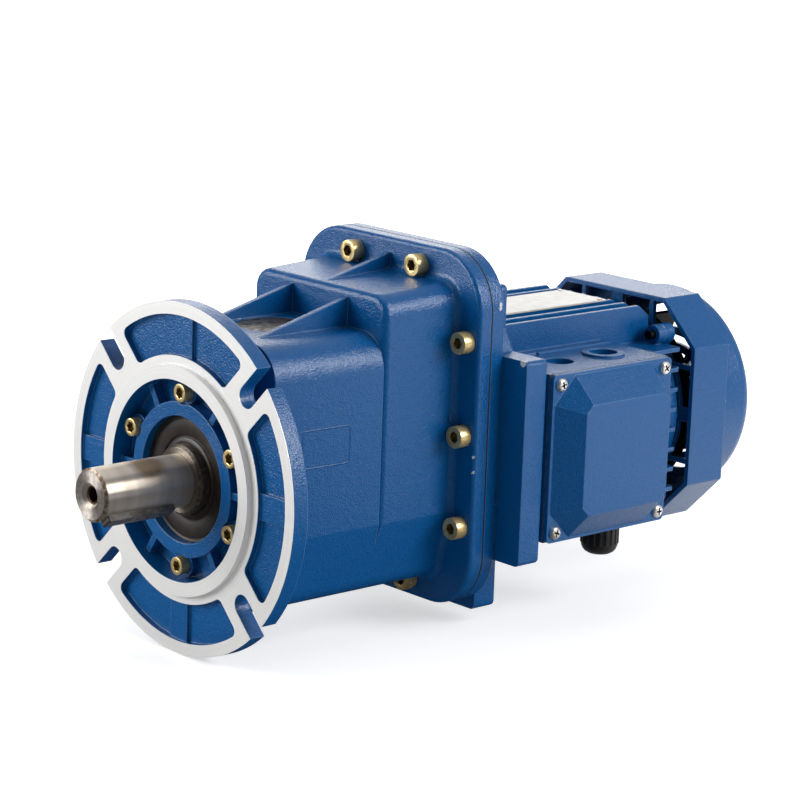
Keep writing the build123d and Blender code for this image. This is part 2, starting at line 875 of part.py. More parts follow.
with BuildPart() as motor_frame:
    with BuildSketch(across(motor_front_x, motor_z)):
        Circle(frame_bore_d / 2 + frame_wall)
    extrude(amount=-frame_l)
    for fin_y in top_fins:
        with BuildSketch(Plane.XZ.offset(-fin_y)):
            with BuildLine():
                Polyline(
                    *[(x, z + motor_z) for x, z in fin_outline(top_fin_half_z, frame_rear_x)],
                    close=True,
                )
            make_face()
        extrude(amount=fin_t / 2, both=True)
    for fin_z in side_fins:
        with BuildSketch(Plane.XY.offset(motor_z + fin_z)) as side_fin:
            with Locations(((motor_front_x - 1 + fin_rear_x) / 2, 0)):
                Rectangle(motor_front_x - 1 - fin_rear_x, 2 * side_fin_half_y)
            fillet(side_fin.vertices().group_by(Axis.X)[0], fin_tip_r)
        extrude(amount=fin_t / 2, both=True)
    extrude(ears(motor_front_x), amount=-ear_t)
    extrude(ears(frame_rear_x), amount=rear_ear_t)
    with BuildSketch(facing_side(0)):
        with Locations((box_mid_x, -box_mid_z)):
            Rectangle(terminal_box_l, terminal_box_h)
    extrude(amount=terminal_box_y)
    with BuildSketch(facing_side(terminal_box_floor_y)):
        with Locations((box_mid_x, -box_mid_z + (terminal_roof_t - terminal_wall) / 2)):
            Rectangle(
                terminal_box_l - 2 * terminal_wall,
                terminal_box_h - terminal_wall - terminal_roof_t,
            )
    extrude(amount=terminal_box_y - terminal_box_floor_y, mode=Mode.SUBTRACT)
    with BuildSketch(facing_side(terminal_box_y)):
        with Locations(*on_side(lid_screw_places)):
            Circle(lid_screw_d + 1)
    extrude(amount=-lid_screw_l - 2)
    with BuildSketch(facing_side(terminal_box_y)):
        with Locations(*on_side(lid_screw_places)):
            Circle(lid_screw_d / 2 + press_gap)
    extrude(amount=-lid_screw_l, mode=Mode.SUBTRACT)
    with BuildSketch(Plane.XY.offset(terminal_box_top_z)):
        with Locations((ringed_entry_x, entry_y)):
            Circle(entry_ring_d / 2)
    extrude(amount=entry_ring_h)
    with BuildSketch(Plane.XY.offset(terminal_box_top_z + entry_ring_h)):
        with Locations((ringed_entry_x, entry_y), (plain_entry_x, entry_y)):
            Circle(entry_d / 2)
    extrude(amount=-entry_depth - entry_ring_h, mode=Mode.SUBTRACT)
    with BuildSketch(Plane.XY.offset(terminal_box_bottom_z)):
        with Locations((gland_x, gland_y)):
            Circle(gland_thread_d / 2 + press_gap)
    extrude(amount=terminal_wall, mode=Mode.SUBTRACT)
    with BuildSketch(across(motor_front_x, motor_z)):
        Circle(frame_bore_d / 2)
    extrude(amount=-frame_l - terminal_wall, mode=Mode.SUBTRACT)
    with BuildSketch(across(frame_rear_x, motor_z)):
        Circle(shield_d / 2 + screw_gap)
    extrude(amount=-shield_t, mode=Mode.SUBTRACT)
    extrude(ears(frame_rear_x, screw_gap), amount=-shield_t, mode=Mode.SUBTRACT)
    with BuildSketch(facing_side(frame_bore_d / 2 - frame_wall)):
        with Locations((box_mid_x, -motor_z)):
            Circle(lead_hole_d / 2)
    extrude(amount=terminal_box_floor_y - frame_bore_d / 2 + frame_wall, mode=Mode.SUBTRACT)
    with BuildSketch(across(motor_front_x - ear_t)):
        with Locations(*motor_ear_places):
            Circle(ear_screw_head_d / 2 + screw_gap)
    extrude(amount=-3 * ear_t, mode=Mode.SUBTRACT)
    with BuildSketch(across(motor_front_x)):
        with Locations(*motor_ear_places):
            Circle((ear_screw_d + screw_gap) / 2)
    extrude(amount=-frame_l, mode=Mode.SUBTRACT)
motor_frame.part.label = "motor_frame"
export_step(motor_frame.part, "parts/motor_frame.step")

with BuildPart() as lid_gasket:
    with BuildSketch(facing_side(terminal_box_y)):
        with Locations((box_mid_x, -box_mid_z)):
            Rectangle(terminal_box_l, terminal_box_h)
            Rectangle(
                terminal_box_l - 2 * terminal_wall,
                terminal_box_h - 2 * terminal_wall,
                mode=Mode.SUBTRACT,
            )
        with Locations(*on_side(lid_screw_places)):
            Circle(lid_screw_d + 1)
            Circle((lid_screw_d + screw_gap) / 2, mode=Mode.SUBTRACT)
    extrude(amount=lid_gasket_t)
lid_gasket.part.label = "lid_gasket"
export_step(lid_gasket.part, "parts/lid_gasket.step")


def lid_face(y, half_x, half_z, cut):
    """Rectangle with cut corners, centred on the terminal box, in the plane at y."""
    corners = [
        (half_x - cut, half_z), (half_x, half_z - cut),
        (half_x, cut - half_z), (half_x - cut, -half_z),
        (cut - half_x, -half_z), (-half_x, cut - half_z),
        (-half_x, half_z - cut), (cut - half_x, half_z),
    ]
    with BuildSketch(facing_side(y)) as face:
        with BuildLine():
            Polyline(*[(box_mid_x + x, z - box_mid_z) for x, z in corners], close=True)
        make_face()
    return face.sketch


lid_y = terminal_box_y + lid_gasket_t
lid_seat_y = lid_y + lid_rim_t
lid_top_y = lid_seat_y + lid_rise
with BuildPart() as terminal_lid:
    with BuildSketch(facing_side(lid_y)):
        with Locations((box_mid_x, -box_mid_z)):
            RectangleRounded(terminal_box_l, terminal_box_h, terminal_corner_r)
    extrude(amount=lid_rim_t)
    foot = (lid_half_x - lid_inset, lid_half_z - lid_inset, lid_corner_cut)
    crown = (lid_half_x - lid_bevel_x, lid_half_z - lid_bevel_z, lid_crown_cut)
    loft(sections=[lid_face(lid_seat_y, *foot), lid_face(lid_top_y, *crown)], ruled=True)
    inner_foot = (foot[0] - 2 * lid_shell, foot[1] - 2 * lid_shell, foot[2])
    inner_crown = (crown[0] - lid_shell, crown[1] - lid_shell, crown[2])
    loft(
        sections=[lid_face(lid_y, *inner_foot), lid_face(lid_top_y - lid_shell, *inner_crown)],
        ruled=True, mode=Mode.SUBTRACT,
    )
    with BuildSketch(facing_side(lid_y)):
        with Locations(*on_side(lid_screw_places)):
            Circle((lid_screw_d + screw_gap) / 2)
    extrude(amount=lid_rim_t, mode=Mode.SUBTRACT)
terminal_lid.part.label = "terminal_lid"
export_step(terminal_lid.part, "parts/terminal_lid.step")

with BuildPart() as lid_screws:
    with BuildSketch(facing_side(lid_seat_y)):
        with Locations(*on_side(lid_screw_places)):
            Circle(lid_screw_head_d / 2)
    extrude(amount=lid_screw_head_h)
    fillet(lid_screws.edges().group_by(Axis.Y)[-1], lid_screw_round)
    with BuildSketch(facing_side(lid_seat_y)):
        with Locations(*on_side(lid_screw_places)):
            Circle(lid_screw_d / 2)
    extrude(amount=-lid_screw_l)
    with BuildSketch(facing_side(lid_seat_y + lid_screw_head_h)):
        with Locations(*on_side(lid_screw_places)):
            Rectangle(lid_cross_l, lid_cross_w)
            Rectangle(lid_cross_w, lid_cross_l)
    extrude(amount=-lid_cross_depth, mode=Mode.SUBTRACT)
lid_screws.part.label = "lid_screws"
export_step(lid_screws.part, "parts/lid_screws.step")

with BuildPart() as terminal_block:
    with BuildSketch(facing_side(terminal_box_floor_y)):
        with Locations((box_mid_x - block_shift_x, -motor_z)):
            RectangleRounded(block_l, block_w, block_corner_r)
    extrude(amount=block_h)
    stud_places = [
        (box_mid_x - block_shift_x + i * stud_pitch_x, motor_z + j * stud_pitch_z)
        for i in (-1, 0, 1) for j in (-0.5, 0.5)
    ]
    with BuildSketch(facing_side(terminal_box_floor_y + block_h)):
        with Locations(*on_side(stud_places)):
            Circle(stud_d / 2 + press_gap)
    extrude(amount=-stud_set, mode=Mode.SUBTRACT)
    with BuildSketch(facing_side(terminal_box_floor_y + block_h)):
        for i in (-0.5, 0.5):
            with Locations((box_mid_x - block_shift_x + i * stud_pitch_x, -motor_z)):
                Rectangle(barrier_t, block_w - barrier_inset)
    extrude(amount=barrier_h)
terminal_block.part.label = "terminal_block"
export_step(terminal_block.part, "parts/terminal_block.step")

with BuildPart() as terminal_studs:
    with BuildSketch(facing_side(terminal_box_floor_y + block_h - stud_set)):
        with Locations(*on_side(stud_places)):
            Circle(stud_d / 2)
    extrude(amount=stud_l)
    with BuildSketch(facing_side(terminal_box_floor_y + block_h)):
        with Locations(*on_side(stud_places)):
            RegularPolygon(stud_nut_af / 2, 6, major_radius=False)
    extrude(amount=stud_nut_h)
terminal_studs.part.label = "terminal_studs"
export_step(terminal_studs.part, "parts/terminal_studs.step")


# Cable gland under the terminal box

gland_top_z = terminal_box_bottom_z
with BuildPart() as gland_body:
    with BuildSketch(Plane.XY.offset(gland_top_z)):
        with Locations((gland_x, gland_y)):
            RegularPolygon(gland_nut_af / 2, 6, major_radius=False)
    extrude(amount=-gland_body_h)
    with BuildSketch(Plane.XY.offset(gland_top_z - gland_body_h)):
        with Locations((gland_x, gland_y)):
            Circle(gland_thread_d / 2)
    extrude(amount=gland_body_h + 2 * terminal_wall)
    with BuildSketch(Plane.XY.offset(gland_top_z - gland_body_h)):
        with Locations((gland_x, gland_y)):
            Circle(gland_thread_d / 2)
    extrude(amount=-gland_nut_h / 2)
    with BuildSketch(Plane.XY.offset(gland_top_z + 2 * terminal_wall)):
        with Locations((gland_x, gland_y)):
            Circle(gland_bore_d / 2 + gland_seal_t)
    extrude(amount=-2 * terminal_wall - gland_body_h - gland_nut_h / 2, mode=Mode.SUBTRACT)
gland_body.part.label = "gland_body"
export_step(gland_body.part, "parts/gland_body.step")

with BuildPart() as gland_locknut:
    with BuildSketch(Plane.XY.offset(gland_top_z + terminal_wall)):
        with Locations((gland_x, gland_y)):
            RegularPolygon(gland_nut_af / 2, 6, major_radius=False)
            Circle(gland_thread_d / 2 + press_gap, mode=Mode.SUBTRACT)
    extrude(amount=gland_locknut_t)
gland_locknut.part.label = "gland_locknut"
export_step(gland_locknut.part, "parts/gland_locknut.step")

nut_top_z = gland_top_z - gland_body_h
nut_r = gland_nut_af / 2 + gland_nut_wall
nut_end_z = nut_top_z - gland_nut_h
with BuildPart() as gland_nut:
    with BuildSketch(Plane.XZ.offset(-gland_y)):
        with BuildLine():
            top_edge = Line((gland_x, nut_top_z), (gland_x + nut_r, nut_top_z))
            side_edge = Line(top_edge @ 1, (gland_x + nut_r, nut_end_z + gland_dome_h))
            dome_end = (gland_x + nut_r - gland_dome_w, nut_end_z)
            dome = RadiusArc(side_edge @ 1, dome_end, gland_dome_r)
            Line(dome @ 1, (gland_x, nut_end_z))
            Line((gland_x, nut_end_z), top_edge @ 0)
        make_face()
    revolve(axis=Axis((gland_x, gland_y, 0), (0, 0, 1)))
    with BuildSketch(Plane.XY.offset(nut_top_z)):
        with Locations((gland_x, gland_y)):
            RegularPolygon(gland_nut_af / 2 + gland_facet_out, gland_nut_facets, major_radius=False)
    extrude(amount=-gland_nut_h, mode=Mode.INTERSECT)
    with BuildSketch(Plane.XY.offset(nut_top_z)):
        with Locations((gland_x, gland_y)):
            Circle(gland_thread_d / 2 + press_gap)
    extrude(amount=-gland_nut_h / 2, mode=Mode.SUBTRACT)
    with BuildSketch(Plane.XY.offset(nut_top_z)):
        with Locations((gland_x, gland_y)):
            Circle(gland_bore_d / 2 + gland_seal_t)
    extrude(amount=-gland_nut_h, mode=Mode.SUBTRACT)
gland_nut.part.label = "gland_nut"
export_step(gland_nut.part, "parts/gland_nut.step")

with BuildPart() as gland_seal:
    with BuildSketch(Plane.XY.offset(nut_top_z - gland_nut_h / 2)):
        with Locations((gland_x, gland_y)):
            Circle(gland_bore_d / 2 + gland_seal_t - press_gap)
            Circle(gland_bore_d / 2, mode=Mode.SUBTRACT)
    extrude(amount=1 - gland_nut_h / 2)
gland_seal.part.label = "gland_seal"
export_step(gland_seal.part, "parts/gland_seal.step")


# Stator, windings and motor screws

stator_rear_x = stator_front_x - stator_l
with BuildPart() as stator_core:
    with BuildSketch(across(stator_front_x, motor_z)):
        Circle(frame_bore_d / 2 - press_gap)
        Circle(stator_bore_d / 2, mode=Mode.SUBTRACT)
    extrude(amount=-stator_l)
stator_core.part.label = "stator_core"
export_step(stator_core.part, "parts/stator_core.step")

with BuildPart() as stator_windings:
    for winding_x in (stator_front_x, stator_rear_x - winding_l):
        with BuildSketch(across(winding_x, motor_z)):
            Circle(frame_bore_d / 2 - winding_gap)
            Circle(frame_bore_d / 2 - winding_gap - winding_t, mode=Mode.SUBTRACT)
        extrude(amount=winding_l)
stator_windings.part.label = "stator_windings"
export_step(stator_windings.part, "parts/stator_windings.step")

front_motor_screws = socket_screws(
    motor_ear_places, motor_front_x - ear_t, ear_screw_d,
    ear_screw_head_d, -ear_screw_head_h, -front_screw_l, 6, 3,
)
front_motor_screws.part.label = "front_motor_screws"
export_step(front_motor_screws.part, "parts/front_motor_screws.step")

rear_ear_x = frame_rear_x + rear_ear_t
rear_motor_screws = socket_screws(
    motor_ear_places, rear_ear_x, ear_screw_d,
    ear_screw_head_d, ear_screw_head_h, rear_screw_l, 6, 3,
)
rear_motor_screws.part.label = "rear_motor_screws"
export_step(rear_motor_screws.part, "parts/rear_motor_screws.step")


# Rear shield

shield_back_x = frame_rear_x - shield_t
spider_x = cowl_front_x - cowl_spider_set
hub_front_x = rear_motor_bearing_x + 2
rear_bearing_end_x = rear_motor_bearing_x - rear_motor_bearing[2]
quarter_angles = (0, 90, 180, 270)
cowl_screw_places = [
    (y, z + motor_z) for y, z in (polar(cowl_ring_d / 2 - cowl_ring_w, a) for a in quarter_angles)
]
with BuildPart() as rear_shield:
    with BuildSketch(across(frame_rear_x, motor_z)):
        Circle(shield_d / 2)
    extrude(amount=-shield_t)
    extrude(ears(frame_rear_x), amount=-shield_t)
    with BuildSketch(across(frame_rear_x, motor_z)):
        Circle(frame_bore_d / 2 - running_gap)
        Circle(frame_bore_d / 2 - wall, mode=Mode.SUBTRACT)
    extrude(amount=shield_spigot_l)
    with BuildSketch(across(frame_rear_x, motor_z)):
        Circle(rear_motor_bearing[1] / 2 + wall)
    extrude(amount=hub_front_x - frame_rear_x)
    with BuildSketch(across(shield_back_x)):
        with Locations(*cowl_screw_places):
            Circle(cowl_land_w / 2)
    extrude(amount=spider_x - shield_back_x)
    with BuildSketch(across(hub_front_x, motor_z)):
        Circle(rear_motor_bearing[1] / 2)
    extrude(amount=rear_bearing_end_x - hub_front_x, mode=Mode.SUBTRACT)
    with BuildSketch(across(hub_front_x, motor_z)):
        Circle(rear_motor_bearing[1] / 2 - 2 * bearing_lip)
    extrude(amount=shield_back_x - hub_front_x, mode=Mode.SUBTRACT)
    with BuildSketch(across(frame_rear_x)):
        with Locations(*motor_ear_places):
            Circle(ear_screw_d / 2 + press_gap)
    extrude(amount=-shield_t, mode=Mode.SUBTRACT)
    with BuildSketch(across(spider_x)):
        with Locations(*cowl_screw_places):
            Circle(cowl_screw_d / 2 + press_gap)
    extrude(amount=cowl_screw_l, mode=Mode.SUBTRACT)
rear_shield.part.label = "rear_shield"
export_step(rear_shield.part, "parts/rear_shield.step")


# Fan cowl

def octagon(half, flat_half):
    """Corners of the cowl's octagon from its half width and half flat."""
    return [
        (half, flat_half), (flat_half, half), (-flat_half, half), (-half, flat_half),
        (-half, -flat_half), (-flat_half, -half), (flat_half, -half), (half, -flat_half),
    ]


skirt_rear_x = cowl_front_x - cowl_skirt_l
bowl_rear_x = skirt_rear_x - cowl_bowl_l
inner_half = cowl_half - cowl_wall
inner_flat = cowl_flat_half - cowl_wall * tan(pi / 8)
bowl_inner_r = cowl_bowl_d / 2 - cowl_wall
ring_inner_r = cowl_ring_d / 2 - 2 * cowl_ring_w
skirt_reach = inner_half + cowl_wall / 3
spoke_foot = (cowl_ring_d / 2 - cowl_ring_w) * cos(asin(cowl_spoke_y / (cowl_ring_d / 2 - cowl_ring_w)))
land_foot = cowl_ring_d / 2 - cowl_ring_w
with BuildPart() as fan_cowl:
    with BuildSketch(across(skirt_rear_x, motor_z)):
        Circle(cowl_bowl_d / 2)
    extrude(amount=-cowl_bowl_l)
    fillet(fan_cowl.edges().group_by(Axis.X)[0], cowl_bowl_edge_r)
    with BuildSketch(across(cowl_front_x, motor_z)) as skirt:
        with BuildLine():
            Polyline(*octagon(cowl_half, cowl_flat_half), close=True)
        make_face()
        fillet(skirt.vertices(), cowl_skirt_edge_r)
    extrude(amount=-cowl_skirt_l)
    with BuildSketch(across(cowl_front_x, motor_z)):
        with BuildLine():
            Polyline(*octagon(inner_half, inner_flat), close=True)
        make_face()
    extrude(amount=cowl_wall - cowl_skirt_l, mode=Mode.SUBTRACT)
    with BuildSketch(Plane.XZ):
        with BuildLine():
            Polyline(
                (cowl_front_x, motor_z), (cowl_front_x, motor_z + bowl_inner_r),
                (bowl_rear_x + cowl_bowl_edge_r, motor_z + bowl_inner_r),
                (bowl_rear_x + cowl_wall, motor_z + bowl_inner_r - cowl_bowl_edge_r + cowl_wall),
                (bowl_rear_x + cowl_wall, motor_z), close=True,
            )
        make_face()
    revolve(axis=shaft_axis(motor_z), mode=Mode.SUBTRACT)
    with BuildSketch(across(spider_x, motor_z)):
        Circle(cowl_ring_d / 2)
        with PolarLocations((skirt_reach + land_foot) / 2, 4):
            Rectangle(skirt_reach - land_foot, cowl_land_w)
        for spoke in (-cowl_spoke_y, cowl_spoke_y):
            for side in (-1, 1):
                with Locations((spoke, side * (skirt_reach + spoke_foot) / 2)):
                    Rectangle(cowl_spoke_w, skirt_reach - spoke_foot)
                with Locations((side * (skirt_reach + spoke_foot) / 2, spoke)):
                    Rectangle(skirt_reach - spoke_foot, cowl_spoke_w)
        Circle(ring_inner_r, mode=Mode.SUBTRACT)
    extrude(amount=-cowl_spider_t)
    with BuildSketch(across(spider_x)):
        with Locations(*cowl_screw_places):
            Circle((cowl_screw_d + screw_gap) / 2)
    extrude(amount=-cowl_spider_t, mode=Mode.SUBTRACT)
    with BuildSketch(across(bowl_rear_x, motor_z)):
        for slot_radius in grille_slot_radii:
            Circle(slot_radius + grille_slot_w / 2)
            Circle(slot_radius - grille_slot_w / 2, mode=Mode.SUBTRACT)
        with PolarLocations(0, grille_bridge_count // 2, angular_range=180):
            Rectangle(cowl_bowl_d, grille_bridge_w, mode=Mode.SUBTRACT)
    extrude(amount=2 * cowl_wall, mode=Mode.SUBTRACT)
fan_cowl.part.label = "fan_cowl"
export_step(fan_cowl.part, "parts/fan_cowl.step")

cowl_screws = socket_screws(
    cowl_screw_places, spider_x - cowl_spider_t, cowl_screw_d,
    cowl_screw_head_d, -cowl_screw_head_h, -cowl_screw_l, 6, 3,
)
cowl_screws.part.label = "cowl_screws"
export_step(cowl_screws.part, "parts/cowl_screws.step")


# Nameplate

plate_z = motor_z + top_fin_half_z
plate_mid_x = nameplate_rear_x + nameplate_l / 2
rivet_places = [
    (plate_mid_x + sx * (nameplate_l / 2 - rivet_inset), sy * rivet_fin_pitches * top_fin_pitch)
    for sx in (-1, 1) for sy in (-1, 1)
]
with BuildPart() as nameplate:
    with BuildSketch(Plane.XY.offset(plate_z)):
        with Locations((plate_mid_x, 0)):
            RectangleRounded(nameplate_l, 2 * nameplate_half_w, nameplate_corner_r)
    extrude(amount=nameplate_t)
nameplate.part.label = "nameplate"
export_step(nameplate.part, "parts/nameplate.step")

with BuildPart() as nameplate_rivets:
    with BuildSketch(Plane.XY.offset(plate_z + nameplate_t)):
        with Locations(*rivet_places):
            Circle(rivet_d / 2)
    extrude(amount=rivet_h)
    chamfer(nameplate_rivets.edges().group_by(Axis.Z)[-1], rivet_chamfer)
nameplate_rivets.part.label = "nameplate_rivets"
export_step(nameplate_rivets.part, "parts/nameplate_rivets.step")


# Seals

def shaft_seal(outer_d, shaft_d, x, width, z):
    """Rotary shaft seal whose front face is at x: a case with a lip round the shaft."""
    outer_r = outer_d / 2 - press_gap
    shaft_r = shaft_d / 2 + running_gap
    back = x - width
    face_back = x - seal_wall
    lip_top = x + seal_lip_rise
    lip_r = shaft_r + seal_lip_h
    return turned(
        [
            (x, outer_r), (x, lip_r), (lip_top, lip_r - seal_lip_rise / 2), (lip_top, shaft_r),
            (back + 1.5 * seal_wall, shaft_r), (back + seal_wall, shaft_r + seal_wall),
            (face_back, lip_r + seal_lip_rise),
            (face_back, outer_r - seal_wall), (back, outer_r - seal_wall), (back, outer_r),
        ],
        z,
    )


output_seal = shaft_seal(seal_bore_d, output_collar_d, seal_x, seal_w, 0)
output_seal.part.label = "output_seal"
export_step(output_seal.part, "parts/output_seal.step")

input_seal = shaft_seal(
    front_motor_bearing[1], front_motor_bearing[0], input_seal_x, input_seal_w, motor_z
)
input_seal.part.label = "input_seal"
export_step(input_seal.part, "parts/input_seal.step")


# Output shaft with its gear

front_bearing_end_x = front_output_bearing_x - front_output_bearing[2]
rear_bearing_seat_x = rear_output_bearing_x - rear_output_bearing[2]
gear_end_x = second_wheel_x - second_wheel_w
shaft_chamfer = 1.5
collar_bevel = 1.6
snap_groove_w = 1.6
snap_groove_h = 1
ring_out = 2.5
ring_gap_w = 4
key_base_r = output_shaft_d / 2 - output_key_h / 2 - 0.5
output_key_x = output_shaft_l - output_key_inset - output_key_l / 2


def slanted_key_plane(radius, angle):
    """Plane square to a radius of the output shaft, with local x along +X."""
    y, z = polar(radius, angle)
    return Plane(origin=(0, y, z), x_dir=(1, 0, 0), z_dir=(0, y, z))


output_steps = [
    (output_shaft_l, 0), (output_shaft_l, output_shaft_d / 2 - shaft_chamfer),
    (output_shaft_l - shaft_chamfer, output_shaft_d / 2), (0, output_shaft_d / 2),
    (0, output_collar_d / 2 - collar_bevel), (-collar_bevel, output_collar_d / 2),
    (front_output_bearing_x, output_collar_d / 2),
    (front_output_bearing_x, front_output_bearing[0] / 2),
    (front_bearing_end_x, front_output_bearing[0] / 2),
    (front_bearing_end_x, output_mid_d / 2 - shaft_relief),
    (rear_output_bearing_x, output_mid_d / 2 - shaft_relief),
    (rear_output_bearing_x, rear_output_bearing[0] / 2),
    (rear_bearing_seat_x - 1, rear_output_bearing[0] / 2),
    (rear_bearing_seat_x - 1, output_gear_seat_d / 2),
    (gear_end_x, output_gear_seat_d / 2), (gear_end_x, output_gear_seat_d / 2 - snap_groove_h),
    (gear_end_x - snap_groove_w, output_gear_seat_d / 2 - snap_groove_h),
    (gear_end_x - snap_groove_w, output_gear_seat_d / 2),
    (output_end_x + 1, output_gear_seat_d / 2), (output_end_x, output_gear_seat_d / 2 - 1),
    (output_end_x, 0),
]
gear_key_w = 8
gear_key_h = 7
gear_key_l = 20
gear_key_x = second_wheel_x - second_wheel_w / 2
with BuildPart() as output_shaft:
    add(turned(output_steps, 0).part)
    with BuildSketch(slanted_key_plane(key_base_r, output_key_angle)):
        with Locations((output_key_x, 0)):
            Rectangle(output_key_l + press_gap, output_key_w + press_gap)
    extrude(amount=output_key_h, mode=Mode.SUBTRACT)
    with BuildSketch(Plane.XY.offset(-output_gear_seat_d / 2 + gear_key_h / 2)):
        with Locations((gear_key_x, 0)):
            SlotOverall(gear_key_l + press_gap, gear_key_w + press_gap)
    extrude(amount=-gear_key_h, mode=Mode.SUBTRACT)
    with BuildSketch(across(output_shaft_l)):
        Circle(centre_thread_d / 2)
    extrude(amount=-centre_thread_l, mode=Mode.SUBTRACT)
    chamfer(
        output_shaft.edges().group_by(Axis.X)[-1].sort_by(SortBy.LENGTH)[0], 2
    )
output_shaft.part.label = "output_shaft"
export_step(output_shaft.part, "parts/output_shaft.step")

with BuildPart() as output_key:
    with BuildSketch(slanted_key_plane(key_base_r, output_key_angle)):
        with Locations((output_key_x, 0)):
            Rectangle(output_key_l, output_key_w)
    extrude(amount=output_key_h)
    chamfer(output_key.edges().filter_by(Plane.YZ), output_key_chamfer)
output_key.part.label = "output_key"
export_step(output_key.part, "parts/output_key.step")

with BuildPart() as output_gear:
    add(helical_gear(
        second_module, second_wheel_teeth, second_beta, -1,
        second_wheel_x, second_wheel_w, second_mesh_x, 0,
        pi / 2 + pi / second_wheel_teeth,
    ))
    with BuildSketch(across(second_wheel_x)):
        Circle(output_gear_seat_d / 2 + press_gap)
    extrude(amount=-second_wheel_w, mode=Mode.SUBTRACT)
    for face_x, direction in ((second_wheel_x, -1), (gear_end_x, 1)):
        with BuildSketch(across(face_x)):
            Circle(gear_web_outer_d / 2)
            Circle(gear_web_inner_d / 2, mode=Mode.SUBTRACT)
        extrude(amount=direction * gear_web_depth, mode=Mode.SUBTRACT)
    with BuildSketch(across(second_wheel_x)):
        with Locations((0, -output_gear_seat_d / 2)):
            Rectangle(gear_key_w + press_gap, gear_key_h)
    extrude(amount=-second_wheel_w, mode=Mode.SUBTRACT)
output_gear.part.label = "output_gear"
export_step(output_gear.part, "parts/output_gear.step")

with BuildPart() as gear_key:
    with BuildSketch(Plane.XY.offset(-output_gear_seat_d / 2 + gear_key_h / 2)):
        with Locations((gear_key_x, 0)):
            SlotOverall(gear_key_l, gear_key_w)
    extrude(amount=-gear_key_h + press_gap)
gear_key.part.label = "gear_key"
export_step(gear_key.part, "parts/gear_key.step")


def snap_ring(shaft_d, groove_h, x, width, z):
    """Snap ring in a groove whose front wall is at x, open at its lowest point."""
    with BuildPart() as ring:
        with BuildSketch(across(x - press_gap, z)):
            Circle(shaft_d / 2 + ring_out)
            Circle(shaft_d / 2 - groove_h + press_gap, mode=Mode.SUBTRACT)
            with Locations((0, -shaft_d / 2)):
                Rectangle(ring_gap_w, 4 * ring_out, mode=Mode.SUBTRACT)
        extrude(amount=2 * press_gap - width)
    return ring


output_snap_ring = snap_ring(output_gear_seat_d, snap_groove_h, gear_end_x, snap_groove_w, 0)
output_snap_ring.part.label = "output_snap_ring"
export_step(output_snap_ring.part, "parts/output_snap_ring.step")


# Intermediate shaft with its wheel

front_journal_end_x = front_intermediate_bearing_x - front_intermediate_bearing[2]
first_wheel_end_x = first_wheel_x - first_wheel_w
rear_journal_end_x = rear_intermediate_bearing_x - rear_intermediate_bearing[2]
wheel_seat_d = 20
intermediate_steps = [
    (front_intermediate_bearing_x, 0),
    (front_intermediate_bearing_x, front_intermediate_bearing[0] / 2 - 1),
    (front_intermediate_bearing_x - 1, front_intermediate_bearing[0] / 2),
    (front_journal_end_x, front_intermediate_bearing[0] / 2),
    (front_journal_end_x, front_intermediate_bearing[0] / 2 + 2),
    (second_pinion_x, front_intermediate_bearing[0] / 2 + 2),
    (second_pinion_x, wheel_seat_d / 2 + 1),
    (first_wheel_x, wheel_seat_d / 2 + 1),
    (first_wheel_x, wheel_seat_d / 2),
    (first_wheel_end_x, wheel_seat_d / 2),
    (first_wheel_end_x, rear_intermediate_bearing[0] / 2),
    (rear_journal_end_x + 1, rear_intermediate_bearing[0] / 2),
    (rear_journal_end_x, rear_intermediate_bearing[0] / 2 - 1),
    (rear_journal_end_x, 0),
]
wheel_key_w = 6
wheel_key_h = 6
wheel_key_l = 13
spacer_wall = 4
wheel_key_x = first_wheel_x - first_wheel_w / 2
wheel_key_z = intermediate_z + wheel_seat_d / 2 - wheel_key_h / 2
with BuildPart() as intermediate_shaft:
    add(helical_gear(
        second_module, second_pinion_teeth, second_beta, 1,
        second_pinion_x, second_pinion_w, second_mesh_x, intermediate_z, -pi / 2,
    ))
    add(turned(intermediate_steps, intermediate_z).part)
    with BuildSketch(Plane.XY.offset(wheel_key_z)):
        with Locations((wheel_key_x, 0)):
            SlotOverall(wheel_key_l + press_gap, wheel_key_w + press_gap)
    extrude(amount=wheel_key_h, mode=Mode.SUBTRACT)
intermediate_shaft.part.label = "intermediate_shaft"
export_step(intermediate_shaft.part, "parts/intermediate_shaft.step")

with BuildPart() as wheel_key:
    with BuildSketch(Plane.XY.offset(wheel_key_z)):
        with Locations((wheel_key_x, 0)):
            SlotOverall(wheel_key_l, wheel_key_w)
    extrude(amount=wheel_key_h - press_gap)
wheel_key.part.label = "wheel_key"
export_step(wheel_key.part, "parts/wheel_key.step")

with BuildPart() as intermediate_wheel:
    add(helical_gear(
        first_module, first_wheel_teeth, first_beta, -1,
        first_wheel_x, first_wheel_w, first_mesh_x, intermediate_z,
        -pi / 2 + pi / first_wheel_teeth,
    ))
    with BuildSketch(across(first_wheel_x, intermediate_z)):
        Circle(wheel_seat_d / 2 + press_gap)
        with Locations((0, wheel_seat_d / 2)):
            Rectangle(wheel_key_w + press_gap, wheel_key_h)
    extrude(amount=-first_wheel_w, mode=Mode.SUBTRACT)
    for face_x, direction in ((first_wheel_x, -1), (first_wheel_end_x, 1)):
        with BuildSketch(across(face_x, intermediate_z)):
            Circle(wheel_web_outer_d / 2)
            Circle(wheel_web_inner_d / 2, mode=Mode.SUBTRACT)
        extrude(amount=direction * wheel_web_depth, mode=Mode.SUBTRACT)
intermediate_wheel.part.label = "intermediate_wheel"
export_step(intermediate_wheel.part, "parts/intermediate_wheel.step")

